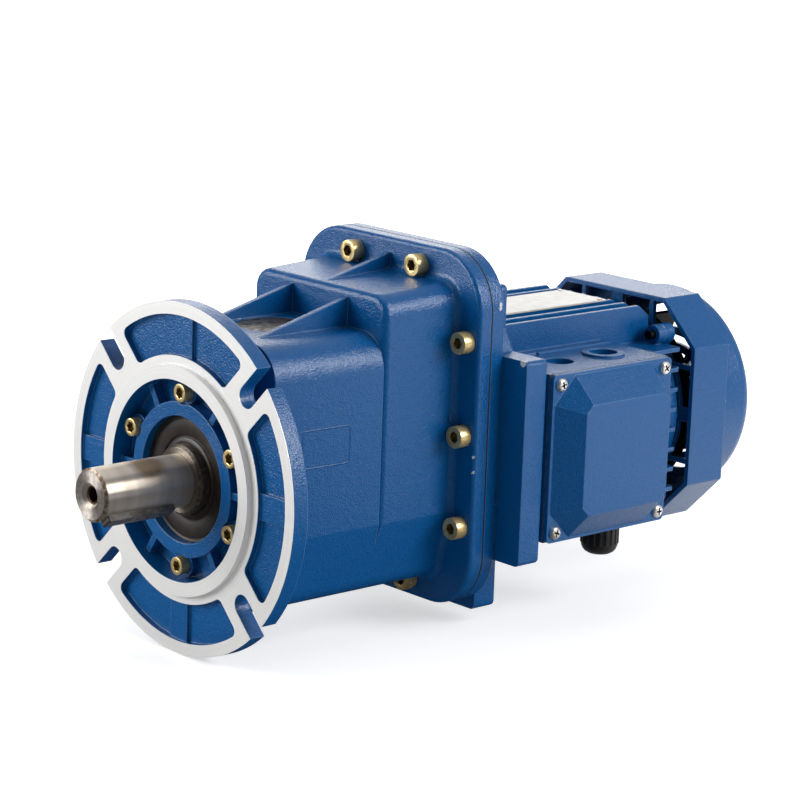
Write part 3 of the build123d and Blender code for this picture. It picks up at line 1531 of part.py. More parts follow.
with BuildPart() as wheel_spacer:
    with BuildSketch(across(first_wheel_end_x, intermediate_z)):
        Circle(rear_intermediate_bearing[0] / 2 + spacer_wall)
        Circle(rear_intermediate_bearing[0] / 2 + press_gap, mode=Mode.SUBTRACT)
    extrude(amount=rear_intermediate_bearing_x - first_wheel_end_x)
wheel_spacer.part.label = "wheel_spacer"
export_step(wheel_spacer.part, "parts/wheel_spacer.step")


# Motor shaft, pinion, rotor and fan

pinion_bore_d = 14
pinion_end_x = first_pinion_x - first_pinion_w
fan_seat_d = 14
rotor_ring_l = 7
shoulder_h = 3
shoulder_l = 7
rotor_end_l = 4
rear_shoulder_h = 2
shaft_run_out = 2
cage_ring_out = 6
cage_ring_in = 2
shoulder_x = motor_bearing_end_x - shoulder_l
rotor_end_x = hub_front_x + rotor_end_l
motor_steps = [
    (rotor_front_x, 0), (rotor_front_x, pinion_bore_d / 2),
    (pinion_end_x, pinion_bore_d / 2), (pinion_end_x, front_motor_bearing[0] / 2),
    (motor_bearing_end_x, front_motor_bearing[0] / 2),
    (motor_bearing_end_x, front_motor_bearing[0] / 2 + shoulder_h),
    (shoulder_x, front_motor_bearing[0] / 2 + shoulder_h),
    (shoulder_x, rotor_shaft_d / 2),
    (rotor_end_x, rotor_shaft_d / 2),
    (rotor_end_x, rear_motor_bearing[0] / 2 + rear_shoulder_h),
    (rear_motor_bearing_x, rear_motor_bearing[0] / 2 + rear_shoulder_h),
    (rear_motor_bearing_x, rear_motor_bearing[0] / 2),
    (rear_bearing_end_x - shaft_run_out, rear_motor_bearing[0] / 2),
    (rear_bearing_end_x - shaft_run_out, fan_seat_d / 2),
    (fan_end_x + 1, fan_seat_d / 2), (fan_end_x, fan_seat_d / 2 - 1), (fan_end_x, 0),
]
motor_shaft = turned(motor_steps, motor_z)
motor_shaft.part.label = "motor_shaft"
export_step(motor_shaft.part, "parts/motor_shaft.step")

with BuildPart() as motor_pinion:
    add(helical_gear(
        first_module, first_pinion_teeth, first_beta, 1,
        first_pinion_x, first_pinion_w, first_mesh_x, motor_z, pi / 2,
    ))
    with BuildSketch(across(first_pinion_x, motor_z)):
        Circle(pinion_bore_d / 2 + press_gap)
    extrude(amount=-first_pinion_w, mode=Mode.SUBTRACT)
motor_pinion.part.label = "motor_pinion"
export_step(motor_pinion.part, "parts/motor_pinion.step")

with BuildPart() as rotor_core:
    with BuildSketch(across(stator_front_x, motor_z)):
        Circle(stator_bore_d / 2 - air_gap)
    extrude(amount=-stator_l)
    with BuildSketch(across(stator_front_x + rotor_ring_l, motor_z)):
        Circle(stator_bore_d / 2 - air_gap - cage_ring_in)
    extrude(amount=-stator_l - 2 * rotor_ring_l)
    with BuildSketch(across(stator_front_x + rotor_ring_l, motor_z)):
        Circle(rotor_shaft_d / 2 + cage_ring_out)
    extrude(amount=-rotor_ring_l, mode=Mode.SUBTRACT)
    with BuildSketch(across(stator_rear_x, motor_z)):
        Circle(rotor_shaft_d / 2 + cage_ring_out)
    extrude(amount=-rotor_ring_l, mode=Mode.SUBTRACT)
    with BuildSketch(across(stator_front_x, motor_z)):
        Circle(rotor_shaft_d / 2 + press_gap)
    extrude(amount=-stator_l, mode=Mode.SUBTRACT)
rotor_core.part.label = "rotor_core"
export_step(rotor_core.part, "parts/rotor_core.step")

blade_mid_r = (fan_d + fan_hub_d) / 4 - fan_blade_overlap
blade_l = (fan_d - fan_hub_d) / 2 + 2 * fan_blade_overlap
with BuildPart() as fan:
    with BuildSketch(across(fan_x, motor_z)):
        Circle(fan_hub_d / 2)
    extrude(amount=-fan_w)
    with BuildSketch(across(fan_x, motor_z)):
        Circle(fan_d / 2 - fan_plate_inset)
    extrude(amount=-fan_plate_t)
    with BuildSketch(across(fan_x, motor_z)):
        with PolarLocations(blade_mid_r, fan_blade_count, start_angle=fan_blade_turn):
            Rectangle(blade_l, fan_blade_t)
    extrude(amount=-fan_w)
    with BuildSketch(across(fan_x, motor_z)):
        Circle(fan_seat_d / 2 + press_gap)
    extrude(amount=-fan_w, mode=Mode.SUBTRACT)
fan.part.label = "fan"
export_step(fan.part, "parts/fan.step")


# Bearings: each gives an outer ring, an inner ring and a set of balls

bearings = {
    "output_front": (front_output_bearing, front_output_bearing_x, 0),
    "output_rear": (rear_output_bearing, rear_output_bearing_x, 0),
    "intermediate_front": (front_intermediate_bearing, front_intermediate_bearing_x, intermediate_z),
    "intermediate_rear": (rear_intermediate_bearing, rear_intermediate_bearing_x, intermediate_z),
    "motor_front": (front_motor_bearing, front_motor_bearing_x, motor_z),
    "motor_rear": (rear_motor_bearing, rear_motor_bearing_x, motor_z),
}
for bearing_name, (size, front_x, height) in bearings.items():
    pieces = dict(zip(("outer", "inner", "balls"), bearing(size, front_x, height)))
    for piece_name, piece in pieces.items():
        piece.part.label = f"{bearing_name}_bearing_{piece_name}"
        export_step(piece.part, f"parts/{piece.part.label}.step")
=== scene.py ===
"""Looks for an in-line helical gearmotor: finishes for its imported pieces, added detail and the stage."""

import math

import bmesh
import bpy
from mathutils import Matrix, Vector


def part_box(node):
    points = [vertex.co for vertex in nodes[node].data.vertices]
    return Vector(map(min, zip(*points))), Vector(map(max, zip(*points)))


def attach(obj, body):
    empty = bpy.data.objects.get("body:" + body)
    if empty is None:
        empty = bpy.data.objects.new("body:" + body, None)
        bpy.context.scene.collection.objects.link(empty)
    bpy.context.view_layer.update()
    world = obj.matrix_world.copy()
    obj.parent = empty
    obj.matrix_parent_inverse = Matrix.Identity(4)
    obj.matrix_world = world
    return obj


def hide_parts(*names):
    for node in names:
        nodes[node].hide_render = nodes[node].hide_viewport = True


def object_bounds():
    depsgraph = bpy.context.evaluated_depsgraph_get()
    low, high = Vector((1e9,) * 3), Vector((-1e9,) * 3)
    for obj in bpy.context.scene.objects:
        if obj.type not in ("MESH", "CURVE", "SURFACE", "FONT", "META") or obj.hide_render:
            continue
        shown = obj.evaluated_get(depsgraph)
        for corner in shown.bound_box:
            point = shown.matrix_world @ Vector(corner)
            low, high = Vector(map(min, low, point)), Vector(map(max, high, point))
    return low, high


bl_info = {
    "name": "Gearmotor looks",
    "version": (1, 0, 0),
    "blender": (4, 5, 0),
    "location": "View3D > Sidebar > Gearmotor",
    "description": "Dresses the packed gearmotor and sets its stage",
    "category": "Object",
}

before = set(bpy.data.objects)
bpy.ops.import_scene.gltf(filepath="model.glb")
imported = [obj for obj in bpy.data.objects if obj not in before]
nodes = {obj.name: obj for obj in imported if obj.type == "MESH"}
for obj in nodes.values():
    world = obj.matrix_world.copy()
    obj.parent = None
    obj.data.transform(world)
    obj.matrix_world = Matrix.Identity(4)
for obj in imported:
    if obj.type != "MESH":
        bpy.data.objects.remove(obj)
cad_low, cad_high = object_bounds()
MM = 0.001


def hex_colour(text):
    """Linear RGBA of an sRGB hex value."""
    channels = [int(text[i:i + 2], 16) / 255 for i in (1, 3, 5)]
    linear = [c / 12.92 if c <= 0.04045 else ((c + 0.055) / 1.055) ** 2.4 for c in channels]
    return (*linear, 1.0)


def add_node(tree, kind, inputs=None, **settings):
    """Adds a shader node with its settings, and sets each input or links it to a node or socket."""
    made = tree.nodes.new("ShaderNode" + kind)
    for name, value in settings.items():
        setattr(made, name, value)
    for key, value in (inputs or {}).items():
        if isinstance(value, bpy.types.Node):
            value = next(socket for socket in value.outputs if socket.enabled)
        if isinstance(value, bpy.types.NodeSocket):
            tree.links.new(value, made.inputs[key])
        else:
            made.inputs[key].default_value = value
    return made


class PaintSettings(bpy.types.PropertyGroup):
    """Colours and grain of the paint on the castings."""

    body: bpy.props.FloatVectorProperty(
        name="Body", description="Main colour of the paint", subtype="COLOR", size=4,
        min=0, max=1, default=hex_colour("#045694"),
    )
    deep: bpy.props.FloatVectorProperty(
        name="Deep", description="Colour where the paint lies thick", subtype="COLOR", size=4,
        min=0, max=1, default=hex_colour("#034E89"),
    )
    # Edge colour: partly the paint thinning on an edge, partly a painted highlight along it
    edge: bpy.props.FloatVectorProperty(
        name="Edge", description="Colour where the paint thins on an edge", subtype="COLOR", size=4,
        min=0, max=1, default=hex_colour("#5F86B4"),
    )
    peel: bpy.props.FloatProperty(
        name="Peel", description="Width of one bump of the orange peel", unit="LENGTH",
        default=0.95 * MM, min=0.2 * MM,
    )
    edge_round: bpy.props.FloatProperty(
        name="Edge rounding", description="Radius that the paint gives to an edge", unit="LENGTH",
        default=1.0 * MM, min=0,
    )


class MetalSettings(bpy.types.PropertyGroup):
    """Colours of the bare metals."""

    turned: bpy.props.FloatVectorProperty(
        name="Turned aluminium", description="Machined faces of the flange", subtype="COLOR",
        size=4, min=0, max=1, default=hex_colour("#F5F5F4"),
    )
    steel: bpy.props.FloatVectorProperty(
        name="Ground steel", description="Shafts", subtype="COLOR", size=4, min=0, max=1,
        default=hex_colour("#E6DACA"),
    )
    zinc: bpy.props.FloatVectorProperty(
        name="Yellow zinc", description="Plated socket screws", subtype="COLOR", size=4,
        min=0, max=1, default=hex_colour("#E4CC94"),
    )
    turning_pitch: bpy.props.FloatProperty(
        name="Turning pitch", description="Spacing of the turning marks", unit="LENGTH",
        default=0.7 * MM, min=0.1 * MM,
    )


class StageSettings(bpy.types.PropertyGroup):
    """Camera and floor."""

    azimuth: bpy.props.FloatProperty(
        name="Azimuth", description="Direction of the camera round the object",
        subtype="ANGLE", unit="ROTATION", default=math.radians(137.79),
    )
    elevation: bpy.props.FloatProperty(
        name="Elevation", description="Height of the camera as an angle",
        subtype="ANGLE", unit="ROTATION", default=math.radians(12.77),
    )
    roll: bpy.props.FloatProperty(
        name="Roll", description="Turn of the camera about its view",
        subtype="ANGLE", unit="ROTATION", default=math.radians(2.03),
    )
    distance: bpy.props.FloatProperty(
        name="Distance", description="From the camera to the plane through the origin",
        unit="LENGTH", default=1.5556, min=0.2,
    )
    aside: bpy.props.FloatVectorProperty(
        name="Aside", description="Shift of the camera to its right and up", unit="LENGTH",
        size=2, default=(0.1228, 0.0444),
    )
    lens: bpy.props.FloatProperty(
        name="Lens", description="Focal length on a 36 mm sensor, in millimetres",
        default=126.3, min=10,
    )
    floor: bpy.props.FloatVectorProperty(
        name="Floor", description="Colour of the floor", subtype="COLOR", size=4,
        min=0, max=1, default=hex_colour("#E2E2E2"),
    )


def start_material(name):
    """Empty node material, its tree, and the place on the object in metres."""
    material = bpy.data.materials.new(name)
    material.use_nodes = True
    tree = material.node_tree
    tree.nodes.clear()
    return material, tree, add_node(tree, "TexCoord").outputs["Object"]


def from_axis(tree, place):
    """Distance from the output axis."""
    parts = add_node(tree, "SeparateXYZ", {0: place})
    squares = [
        add_node(tree, "Math", {0: parts.outputs[side], 1: parts.outputs[side]}, operation="MULTIPLY")
        for side in "YZ"
    ]
    total = add_node(tree, "Math", {0: squares[0], 1: squares[1]}, operation="ADD")
    return add_node(tree, "Math", {0: total}, operation="SQRT")


def paint_coat(tree, place, settings):
    """Colour, roughness, normal and edge mask of the textured blue paint."""
    soft = add_node(tree, "Bevel", {"Radius": settings.edge_round}, samples=6)
    flat = add_node(tree, "NewGeometry").outputs["Normal"]
    match = add_node(tree, "VectorMath", {0: soft, 1: flat}, operation="DOT_PRODUCT")
    edges = add_node(tree, "MapRange", {"Value": match, "From Min": 0.995, "From Max": 0.90})
    peel = add_node(tree, "TexNoise", {"Vector": place, "Scale": 1 / settings.peel, "Detail": 1.5})
    # The casting under the paint has bumps four times as wide as the peel
    cast = add_node(tree, "TexNoise", {"Vector": place, "Scale": 1 / (4 * settings.peel), "Detail": 1.0})
    height = add_node(tree, "Math", {0: cast, 1: 0.6, 2: peel}, operation="MULTIPLY_ADD")
    normal = add_node(
        tree, "Bump", {"Strength": 1.0, "Distance": 0.3 * MM, "Height": height, "Normal": soft}
    )
    thickness = add_node(tree, "MapRange", {"Value": peel, "From Min": 0.4, "From Max": 0.6})
    tone = add_node(
        tree, "Mix",
        {"Factor": thickness, "A": tuple(settings.deep), "B": tuple(settings.body)}, data_type="RGBA",
    )
    # Edges lighten towards the edge colour: partly thin paint, partly a painted highlight along each edge
    thin_paint_and_highlight = add_node(tree, "Math", {0: edges, 1: 0.5}, operation="MULTIPLY")
    tone = add_node(
        tree, "Mix", {"Factor": thin_paint_and_highlight, "A": tone, "B": tuple(settings.edge)}, data_type="RGBA"
    )
    rough = add_node(
        tree, "MapRange",
        {"Value": peel, "From Min": 0.3, "From Max": 0.7, "To Min": 0.18, "To Max": 0.26},
    )
    return tone, rough, normal, edges


def cast_outline(tree, place):
    """Mask of the faint raised outline of a rounded pad on the +Y wall of the housing."""
    pad_middle = (-58.5 * MM, 0, 22.2 * MM)
    pad_half = (14.5 * MM, 1, 8.7 * MM)
    corner_radius = 2 * MM
    reach = add_node(tree, "VectorMath", {0: place, 1: pad_middle}, operation="SUBTRACT")
    reach = add_node(tree, "VectorMath", {0: reach}, operation="ABSOLUTE")
    beyond = add_node(tree, "VectorMath", {0: reach, 1: pad_half}, operation="SUBTRACT")
    beyond = add_node(tree, "VectorMath", {0: beyond, 1: (0, 0, 0)}, operation="MAXIMUM")
    gap = add_node(tree, "VectorMath", {0: beyond}, operation="LENGTH")
    off_line = add_node(tree, "Math", {0: gap, 1: corner_radius}, operation="SUBTRACT")
    off_line = add_node(tree, "Math", {0: off_line}, operation="ABSOLUTE")
    line = add_node(
        tree, "MapRange", {"Value": off_line, "From Min": 0.45 * MM, "From Max": 0.15 * MM}
    )
    side = add_node(tree, "SeparateXYZ", {0: place}).outputs["Y"]
    on_wall = add_node(tree, "MapRange", {"Value": side, "From Min": 50 * MM, "From Max": 52 * MM})
    return add_node(tree, "Math", {0: line, 1: on_wall}, operation="MULTIPLY")


def knocks(tree, place):
    """Mask of the few knocks that took the paint off the edges of cover and housing."""
    # Place on the object and radius, in millimetres
    cover_chip_high = ((-167.3, 78.3, 94.6), 1.3)
    cover_chip_low = ((-167.0, 78.4, 92.6), 1.1)
    arm_corner = ((-171.3, 94.2, 63.2), 2.1)
    plate_edge_high = ((-151.2, 77.0, 8.0), 0.8)
    plate_edge_low = ((-151.4, 77.3, -1.0), 0.9)
    blur = 0.1
    grit = add_node(tree, "TexNoise", {"Vector": place, "Scale": 1 / (1.2 * MM), "Detail": 2.0})
    ragged = add_node(
        tree, "MapRange",
        {"Value": grit, "From Min": 0.2, "From Max": 0.8, "To Min": -0.8 * MM, "To Max": 0.8 * MM},
    )
    mask = 0.0
    for spot, radius in (cover_chip_high, cover_chip_low, arm_corner, plate_edge_high, plate_edge_low):
        centre = tuple(part * MM for part in spot)
        gap = add_node(tree, "VectorMath", {0: place, 1: centre}, operation="DISTANCE")
        gap = add_node(tree, "Math", {0: gap, 1: ragged}, operation="ADD")
        mark = add_node(
            tree, "MapRange",
            {"Value": gap, "From Min": (radius + blur) * MM, "From Max": (radius - blur) * MM},
        )
        mask = add_node(tree, "Math", {0: mark, 1: mask}, operation="MAXIMUM")
    return mask


def paint_material(name, settings, outlined=False):
    """Textured enamel baked on a die casting: satin, with orange peel, and edges lightened partly where
    the paint thins and partly as a painted highlight.
    """
    material, tree, place = start_material(name)
    tone, rough, normal, edges = paint_coat(tree, place, settings)
    if outlined:
        line = cast_outline(tree, place)
        # The line is darkened towards deep blue as painted shade along the raised outline; the bump below
        # raises it
        shade = add_node(tree, "Math", {0: line, 1: 0.45}, operation="MULTIPLY")
        tone = add_node(
            tree, "Mix", {"Factor": shade, "A": tone, "B": hex_colour("#0A2C55")}, data_type="RGBA"
        )
        normal = add_node(
            tree, "Bump", {"Strength": 0.6, "Distance": 0.3 * MM, "Height": line, "Normal": normal}
        )
    patches = add_node(tree, "TexNoise", {"Vector": place, "Scale": 1 / (7 * MM), "Detail": 3.0})
    patches = add_node(tree, "MapRange", {"Value": patches, "From Min": 0.70, "From Max": 0.72})
    on_edge = add_node(tree, "MapRange", {"Value": edges, "From Min": 0.5, "From Max": 0.7})
    chips = add_node(tree, "Math", {0: patches, 1: on_edge}, operation="MULTIPLY")
    chips = add_node(tree, "Math", {0: chips, 1: knocks(tree, place)}, operation="MAXIMUM")
    tone = add_node(
        tree, "Mix", {"Factor": chips, "A": tone, "B": hex_colour("#C9CBCC")}, data_type="RGBA"
    )
    shader = add_node(tree, "BsdfPrincipled", {"Base Color": tone, "Roughness": rough, "Normal": normal})
    add_node(tree, "OutputMaterial", {"Surface": shader})
    return material


def flange_material(name, paint, metal):
    """Painted casting whose mounting face and pilot ring are turned bare in a lathe."""
    material, tree, place = start_material(name)
    tone, rough, normal, _ = paint_coat(tree, place, paint)
    along = add_node(tree, "SeparateXYZ", {0: place}).outputs["X"]
    radius = from_axis(tree, place)
    front = add_node(
        tree, "MapRange", {"Value": along, "From Min": -0.35 * MM, "From Max": -0.25 * MM}
    )
    outside = add_node(
        tree, "MapRange", {"Value": radius, "From Min": 57.05 * MM, "From Max": 57.15 * MM}
    )
    turned = add_node(tree, "Math", {0: front, 1: outside}, operation="MULTIPLY")
    ring = add_node(tree, "CombineXYZ", {0: radius})
    marks = add_node(tree, "TexNoise", {"Vector": ring, "Scale": 1 / metal.turning_pitch, "Detail": 3.0})
    share = add_node(tree, "MapRange", {"Value": marks, "From Min": 0.3, "From Max": 0.7})
    bare = add_node(
        tree, "Mix",
        {"Factor": share, "A": hex_colour("#E6E5E4"), "B": tuple(metal.turned)}, data_type="RGBA",
    )
    bare_rough = add_node(
        tree, "MapRange",
        {"Value": marks, "From Min": 0.3, "From Max": 0.7, "To Min": 0.36, "To Max": 0.46},
    )
    cuts = add_node(tree, "Bump", {"Strength": 0.12, "Distance": 0.1 * MM, "Height": marks})
    shader = add_node(tree, "BsdfPrincipled", {
        "Base Color": add_node(tree, "Mix", {"Factor": turned, "A": tone, "B": bare}, data_type="RGBA"),
        "Metallic": add_node(tree, "Math", {0: turned, 1: 0.3}, operation="MULTIPLY"),
        "Roughness": add_node(tree, "Mix", {"Factor": turned, "A": rough, "B": bare_rough}),
        "Normal": add_node(tree, "Mix", {"Factor": turned, "A": normal, "B": cuts}, data_type="VECTOR"),
    })
    add_node(tree, "OutputMaterial", {"Surface": shader})
    return material


def ground_shaft_material(name, steel):
    """Shaft ground on centres: fine rings round the axis, an oil stain, a rusty rim, and painted shade in
    its centre hole and round its root.
    """
    material, tree, place = start_material(name)
    along = add_node(tree, "SeparateXYZ", {0: place}).outputs["X"]
    radius = from_axis(tree, place)
    line = add_node(tree, "CombineXYZ", {0: along})
    rings = add_node(tree, "TexNoise", {"Vector": line, "Scale": 1 / (0.35 * MM), "Detail": 2.0})
    bands = add_node(tree, "TexNoise", {"Vector": line, "Scale": 1 / (7 * MM), "Detail": 2.0})
    blotches = add_node(tree, "TexNoise", {"Vector": place, "Scale": 1 / (2.5 * MM), "Detail": 4.0})

    stain_middle = (26 * MM, 6 * MM, 14 * MM)
    stain = add_node(tree, "VectorMath", {0: place, 1: stain_middle}, operation="DISTANCE")
    stain = add_node(tree, "MapRange", {"Value": stain, "From Min": 12 * MM, "From Max": 7 * MM})
    stain = add_node(tree, "Math", {0: stain, 1: 0.75}, operation="MULTIPLY")

    end = add_node(tree, "MapRange", {"Value": along, "From Min": 59.6 * MM, "From Max": 59.9 * MM})
    worn = add_node(tree, "MapRange", {"Value": blotches, "From Min": 0.3, "From Max": 0.7})
    worn_end = add_node(
        tree, "Mix",
        {"Factor": worn, "A": hex_colour("#A2968C"), "B": hex_colour("#CEC8C4")}, data_type="RGBA",
    )

    near_end = add_node(
        tree, "MapRange", {"Value": along, "From Min": 57.6 * MM, "From Max": 58.8 * MM}
    )
    near_edge = add_node(
        tree, "MapRange", {"Value": radius, "From Min": 12.9 * MM, "From Max": 13.8 * MM}
    )
    patchy = add_node(
        tree, "MapRange",
        {"Value": blotches, "From Min": 0.42, "From Max": 0.56, "To Min": 0.15, "To Max": 0.85},
    )
    rim = add_node(tree, "Math", {0: near_end, 1: near_edge}, operation="MULTIPLY")
    rim = add_node(tree, "Math", {0: rim, 1: patchy}, operation="MULTIPLY")

    # Painted shade: the centre hole is darkened to dark brown
    hole_shade = add_node(
        tree, "MapRange", {"Value": radius, "From Min": 5.4 * MM, "From Max": 4.9 * MM}
    )
    # Painted shade: a patchy dark band round the shaft's root, where it meets the seal
    root = add_node(tree, "MapRange", {"Value": along, "From Min": 1 * MM, "From Max": -0.2 * MM})
    root_breakup = add_node(
        tree, "MapRange",
        {"Value": blotches, "From Min": 0.35, "From Max": 0.55, "To Min": 0.8, "To Max": 1.0},
    )
    root_shade = add_node(tree, "Math", {0: root, 1: root_breakup}, operation="MULTIPLY")
    root_shade = add_node(tree, "Math", {0: root_shade, 1: 0.85}, operation="MULTIPLY")

    share = add_node(tree, "MapRange", {"Value": bands, "From Min": 0.35, "From Max": 0.65})
    tone = add_node(
        tree, "Mix", {"Factor": share, "A": hex_colour("#D4C7B6"), "B": steel}, data_type="RGBA"
    )
    layers = (
        (stain, hex_colour("#8F7046")), (end, worn_end), (rim, hex_colour("#7E5A40")),
        (hole_shade, hex_colour("#4A372B")), (root_shade, hex_colour("#3A322A")),
    )
    for mask, colour in layers:
        tone = add_node(tree, "Mix", {"Factor": mask, "A": tone, "B": colour}, data_type="RGBA")

    soft = add_node(tree, "Bevel", {"Radius": 0.4 * MM}, samples=4)
    shader = add_node(tree, "BsdfPrincipled", {
        "Base Color": tone,
        "Metallic": 0.85,
        "Anisotropic": 0.9,
        "Anisotropic Rotation": 0.25,
        "Tangent": add_node(tree, "Tangent", direction_type="RADIAL", axis="X"),
        "Roughness": add_node(tree, "Mix", {"Factor": end, "A": 0.34, "B": 0.5}),
        "Normal": add_node(
            tree, "Bump", {"Strength": 0.2, "Distance": 0.02 * MM, "Height": rings, "Normal": soft}
        ),
    })
    add_node(tree, "OutputMaterial", {"Surface": shader})
    return material


def metal_material(name, colour, shade, roughness, wear_width, bump=0.0, metallic=1.0):
    """Bare or plated metal whose colour and gloss drift over a stated width."""
    material, tree, place = start_material(name)
    drift = add_node(tree, "TexNoise", {"Vector": place, "Scale": 1 / wear_width, "Detail": 4.0})
    share = add_node(tree, "MapRange", {"Value": drift, "From Min": 0.35, "From Max": 0.65})
    fine = add_node(tree, "TexNoise", {"Vector": place, "Scale": 6 / wear_width, "Detail": 2.0})
    soft = add_node(tree, "Bevel", {"Radius": 0.3 * MM}, samples=4)
    shader = add_node(tree, "BsdfPrincipled", {
        "Base Color": add_node(tree, "Mix", {"Factor": share, "A": shade, "B": colour}, data_type="RGBA"),
        "Metallic": metallic,
        "Roughness": add_node(tree, "MapRange", {
            "Value": drift, "From Min": 0.3, "From Max": 0.7,
            "To Min": roughness + 0.08, "To Max": roughness - 0.04,
        }),
        "Normal": add_node(
            tree, "Bump", {"Strength": bump, "Distance": 0.1 * MM, "Height": fine, "Normal": soft}
        ),
    })
    add_node(tree, "OutputMaterial", {"Surface": shader})
    return material


def polymer_material(name, colour, shade, roughness, grain_width):
    """Moulded rubber, plastic or paper with a fine grain."""
    material, tree, place = start_material(name)
    drift = add_node(tree, "TexNoise", {"Vector": place, "Scale": 1 / (6 * MM), "Detail": 3.0})
    share = add_node(tree, "MapRange", {"Value": drift, "From Min": 0.35, "From Max": 0.65})
    grain = add_node(tree, "TexNoise", {"Vector": place, "Scale": 1 / grain_width, "Detail": 2.0})
    soft = add_node(tree, "Bevel", {"Radius": 0.4 * MM}, samples=4)
    shader = add_node(tree, "BsdfPrincipled", {
        "Base Color": add_node(tree, "Mix", {"Factor": share, "A": shade, "B": colour}, data_type="RGBA"),
        "Roughness": roughness,
        "Normal": add_node(
            tree, "Bump", {"Strength": 0.25, "Distance": 0.1 * MM, "Height": grain, "Normal": soft}
        ),
    })
    add_node(tree, "OutputMaterial", {"Surface": shader})
    return material


def floor_material(colour):
    """Matte studio floor: white to the camera, with only a soft shadow left on it."""
    material, tree, place = start_material("pale studio floor")
    rays = add_node(tree, "LightPath").outputs
    mirrored = add_node(
        tree, "Math", {0: rays["Is Glossy Ray"], 1: rays["Is Transmission Ray"]}, operation="MAXIMUM"
    )
    gap = add_node(tree, "VectorMath", {0: place, 1: (0, 0, 0)}, operation="DISTANCE")
    glow = add_node(
        tree, "MapRange",
        {"Value": gap, "From Min": 0.45, "From Max": 1.0, "To Min": 0.55, "To Max": 1.2},
    )
    seen = add_node(tree, "Math", {0: rays["Is Camera Ray"], 1: glow}, operation="MULTIPLY")
    # The metal sees a bright strip of the floor behind the flange, as it would a white card
    reach = add_node(tree, "SeparateXYZ", {0: place}).outputs["X"]
    rise = add_node(
        tree, "MapRange",
        {"Value": reach, "From Min": -0.02, "From Max": -0.32, "To Min": 0.0, "To Max": 1.3},
    )
    fall = add_node(
        tree, "MapRange",
        {"Value": reach, "From Min": -0.35, "From Max": -0.75, "To Min": 1.0, "To Max": 0.6},
    )
    card = add_node(tree, "Math", {0: rise, 1: fall}, operation="MULTIPLY")
    card = add_node(tree, "Math", {0: mirrored, 1: card}, operation="MULTIPLY")
    # To glossy and transmission rays the floor is dark grey: painted shade in what the object reflects
    shader = add_node(tree, "BsdfPrincipled", {
        "Base Color": add_node(
            tree, "Mix", {"Factor": mirrored, "A": colour, "B": hex_colour("#303030")}, data_type="RGBA"
        ),
        "Roughness": 0.9,
        "Emission Color": (1, 1, 1, 1),
        "Emission Strength": add_node(tree, "Math", {0: seen, 1: card}, operation="ADD"),
    })
    add_node(tree, "OutputMaterial", {"Surface": shader})
    return material


def studio_world():
    """World that is white to the camera, soft on matte faces, and brighter behind for metal."""
    world = bpy.data.worlds.new("studio")
    world.use_nodes = True
    tree = world.node_tree
    tree.nodes.clear()
    rays = add_node(tree, "LightPath").outputs
    mirrored = add_node(
        tree, "Math", {0: rays["Is Glossy Ray"], 1: rays["Is Transmission Ray"]}, operation="MAXIMUM"
    )
    direction = add_node(tree, "TexCoord").outputs["Generated"]
    toward = add_node(tree, "SeparateXYZ", {0: direction}).outputs["X"]
    behind = add_node(
        tree, "MapRange",
        {"Value": toward, "From Min": 0.4, "From Max": -0.4, "To Min": 0.03, "To Max": 0.48},
    )
    strength = add_node(tree, "Mix", {"Factor": mirrored, "A": 0.25, "B": behind})
    strength = add_node(tree, "Mix", {"Factor": rays["Is Camera Ray"], "A": strength, "B": 1.0})
    light = add_node(tree, "Background", {"Color": (1, 1, 1, 1), "Strength": strength})
    add_node(tree, "OutputWorld", {"Surface": light})
    return world


def dress(names, material):
    """Gives CAD nodes a material."""
    for name in names:
        slots = nodes[name].data.materials
        slots.clear()
        slots.append(material)


def clear_selection():
    """Leaves edit mode and deselects everything, the CAD nodes too."""
    if bpy.context.object and bpy.context.object.mode != "OBJECT":
        bpy.ops.object.mode_set(mode="OBJECT")
    bpy.ops.object.select_all(action="DESELECT")


def start_rod(name, radius, depth, middle, axis, vertices=48):
    """Cylinder along an axis, with its place in its mesh, ready to be shaped."""
    clear_selection()
    turn = Vector((0, 0, 1)).rotation_difference(Vector(axis)).to_euler()
    bpy.ops.mesh.primitive_cylinder_add(
        vertices=vertices, radius=radius, depth=depth, location=middle, rotation=turn
    )
    piece = bpy.context.object
    piece.name = name
    bpy.ops.object.transform_apply(location=True, rotation=True, scale=True)
    return piece


def open_shape(piece, kind):
    """Goes into edit mode with nothing selected, to pick faces or corners."""
    bpy.context.view_layer.objects.active = piece
    bpy.ops.object.mode_set(mode="EDIT")
    bpy.ops.mesh.select_mode(type=kind)
    bpy.ops.mesh.select_all(action="DESELECT")
    return bmesh.from_edit_mesh(piece.data)


def choose_faces(piece, wanted):
    """Goes into edit mode with only the wanted faces selected, by their middle and normal."""
    shape = open_shape(piece, "FACE")
    for face in shape.faces:
        face.select_set(wanted(face.calc_center_median(), face.normal))
    bmesh.update_edit_mesh(piece.data)


def choose_corners(piece, wanted):
    """Goes into edit mode with only the wanted corners selected, by their place."""
    shape = open_shape(piece, "VERT")
    for corner in shape.verts:
        corner.select_set(wanted(corner.co))
    bmesh.update_edit_mesh(piece.data)


def turn_round(place, middle, axis):
    """Angle of a place round an axis that runs through a middle."""
    side = Vector(axis).orthogonal().normalized()
    reach = place - Vector(middle)
    return math.atan2(reach.dot(Vector(axis).cross(side)), reach.dot(side))


def step_face(inset, rise, axis):
    """Insets the selected face and lifts it along an axis."""
    if inset:
        bpy.ops.mesh.inset(thickness=inset)
        bpy.ops.transform.translate(value=Vector(axis) * rise)
    else:
        bpy.ops.mesh.extrude_region_move(TRANSFORM_OT_translate={"value": Vector(axis) * rise})


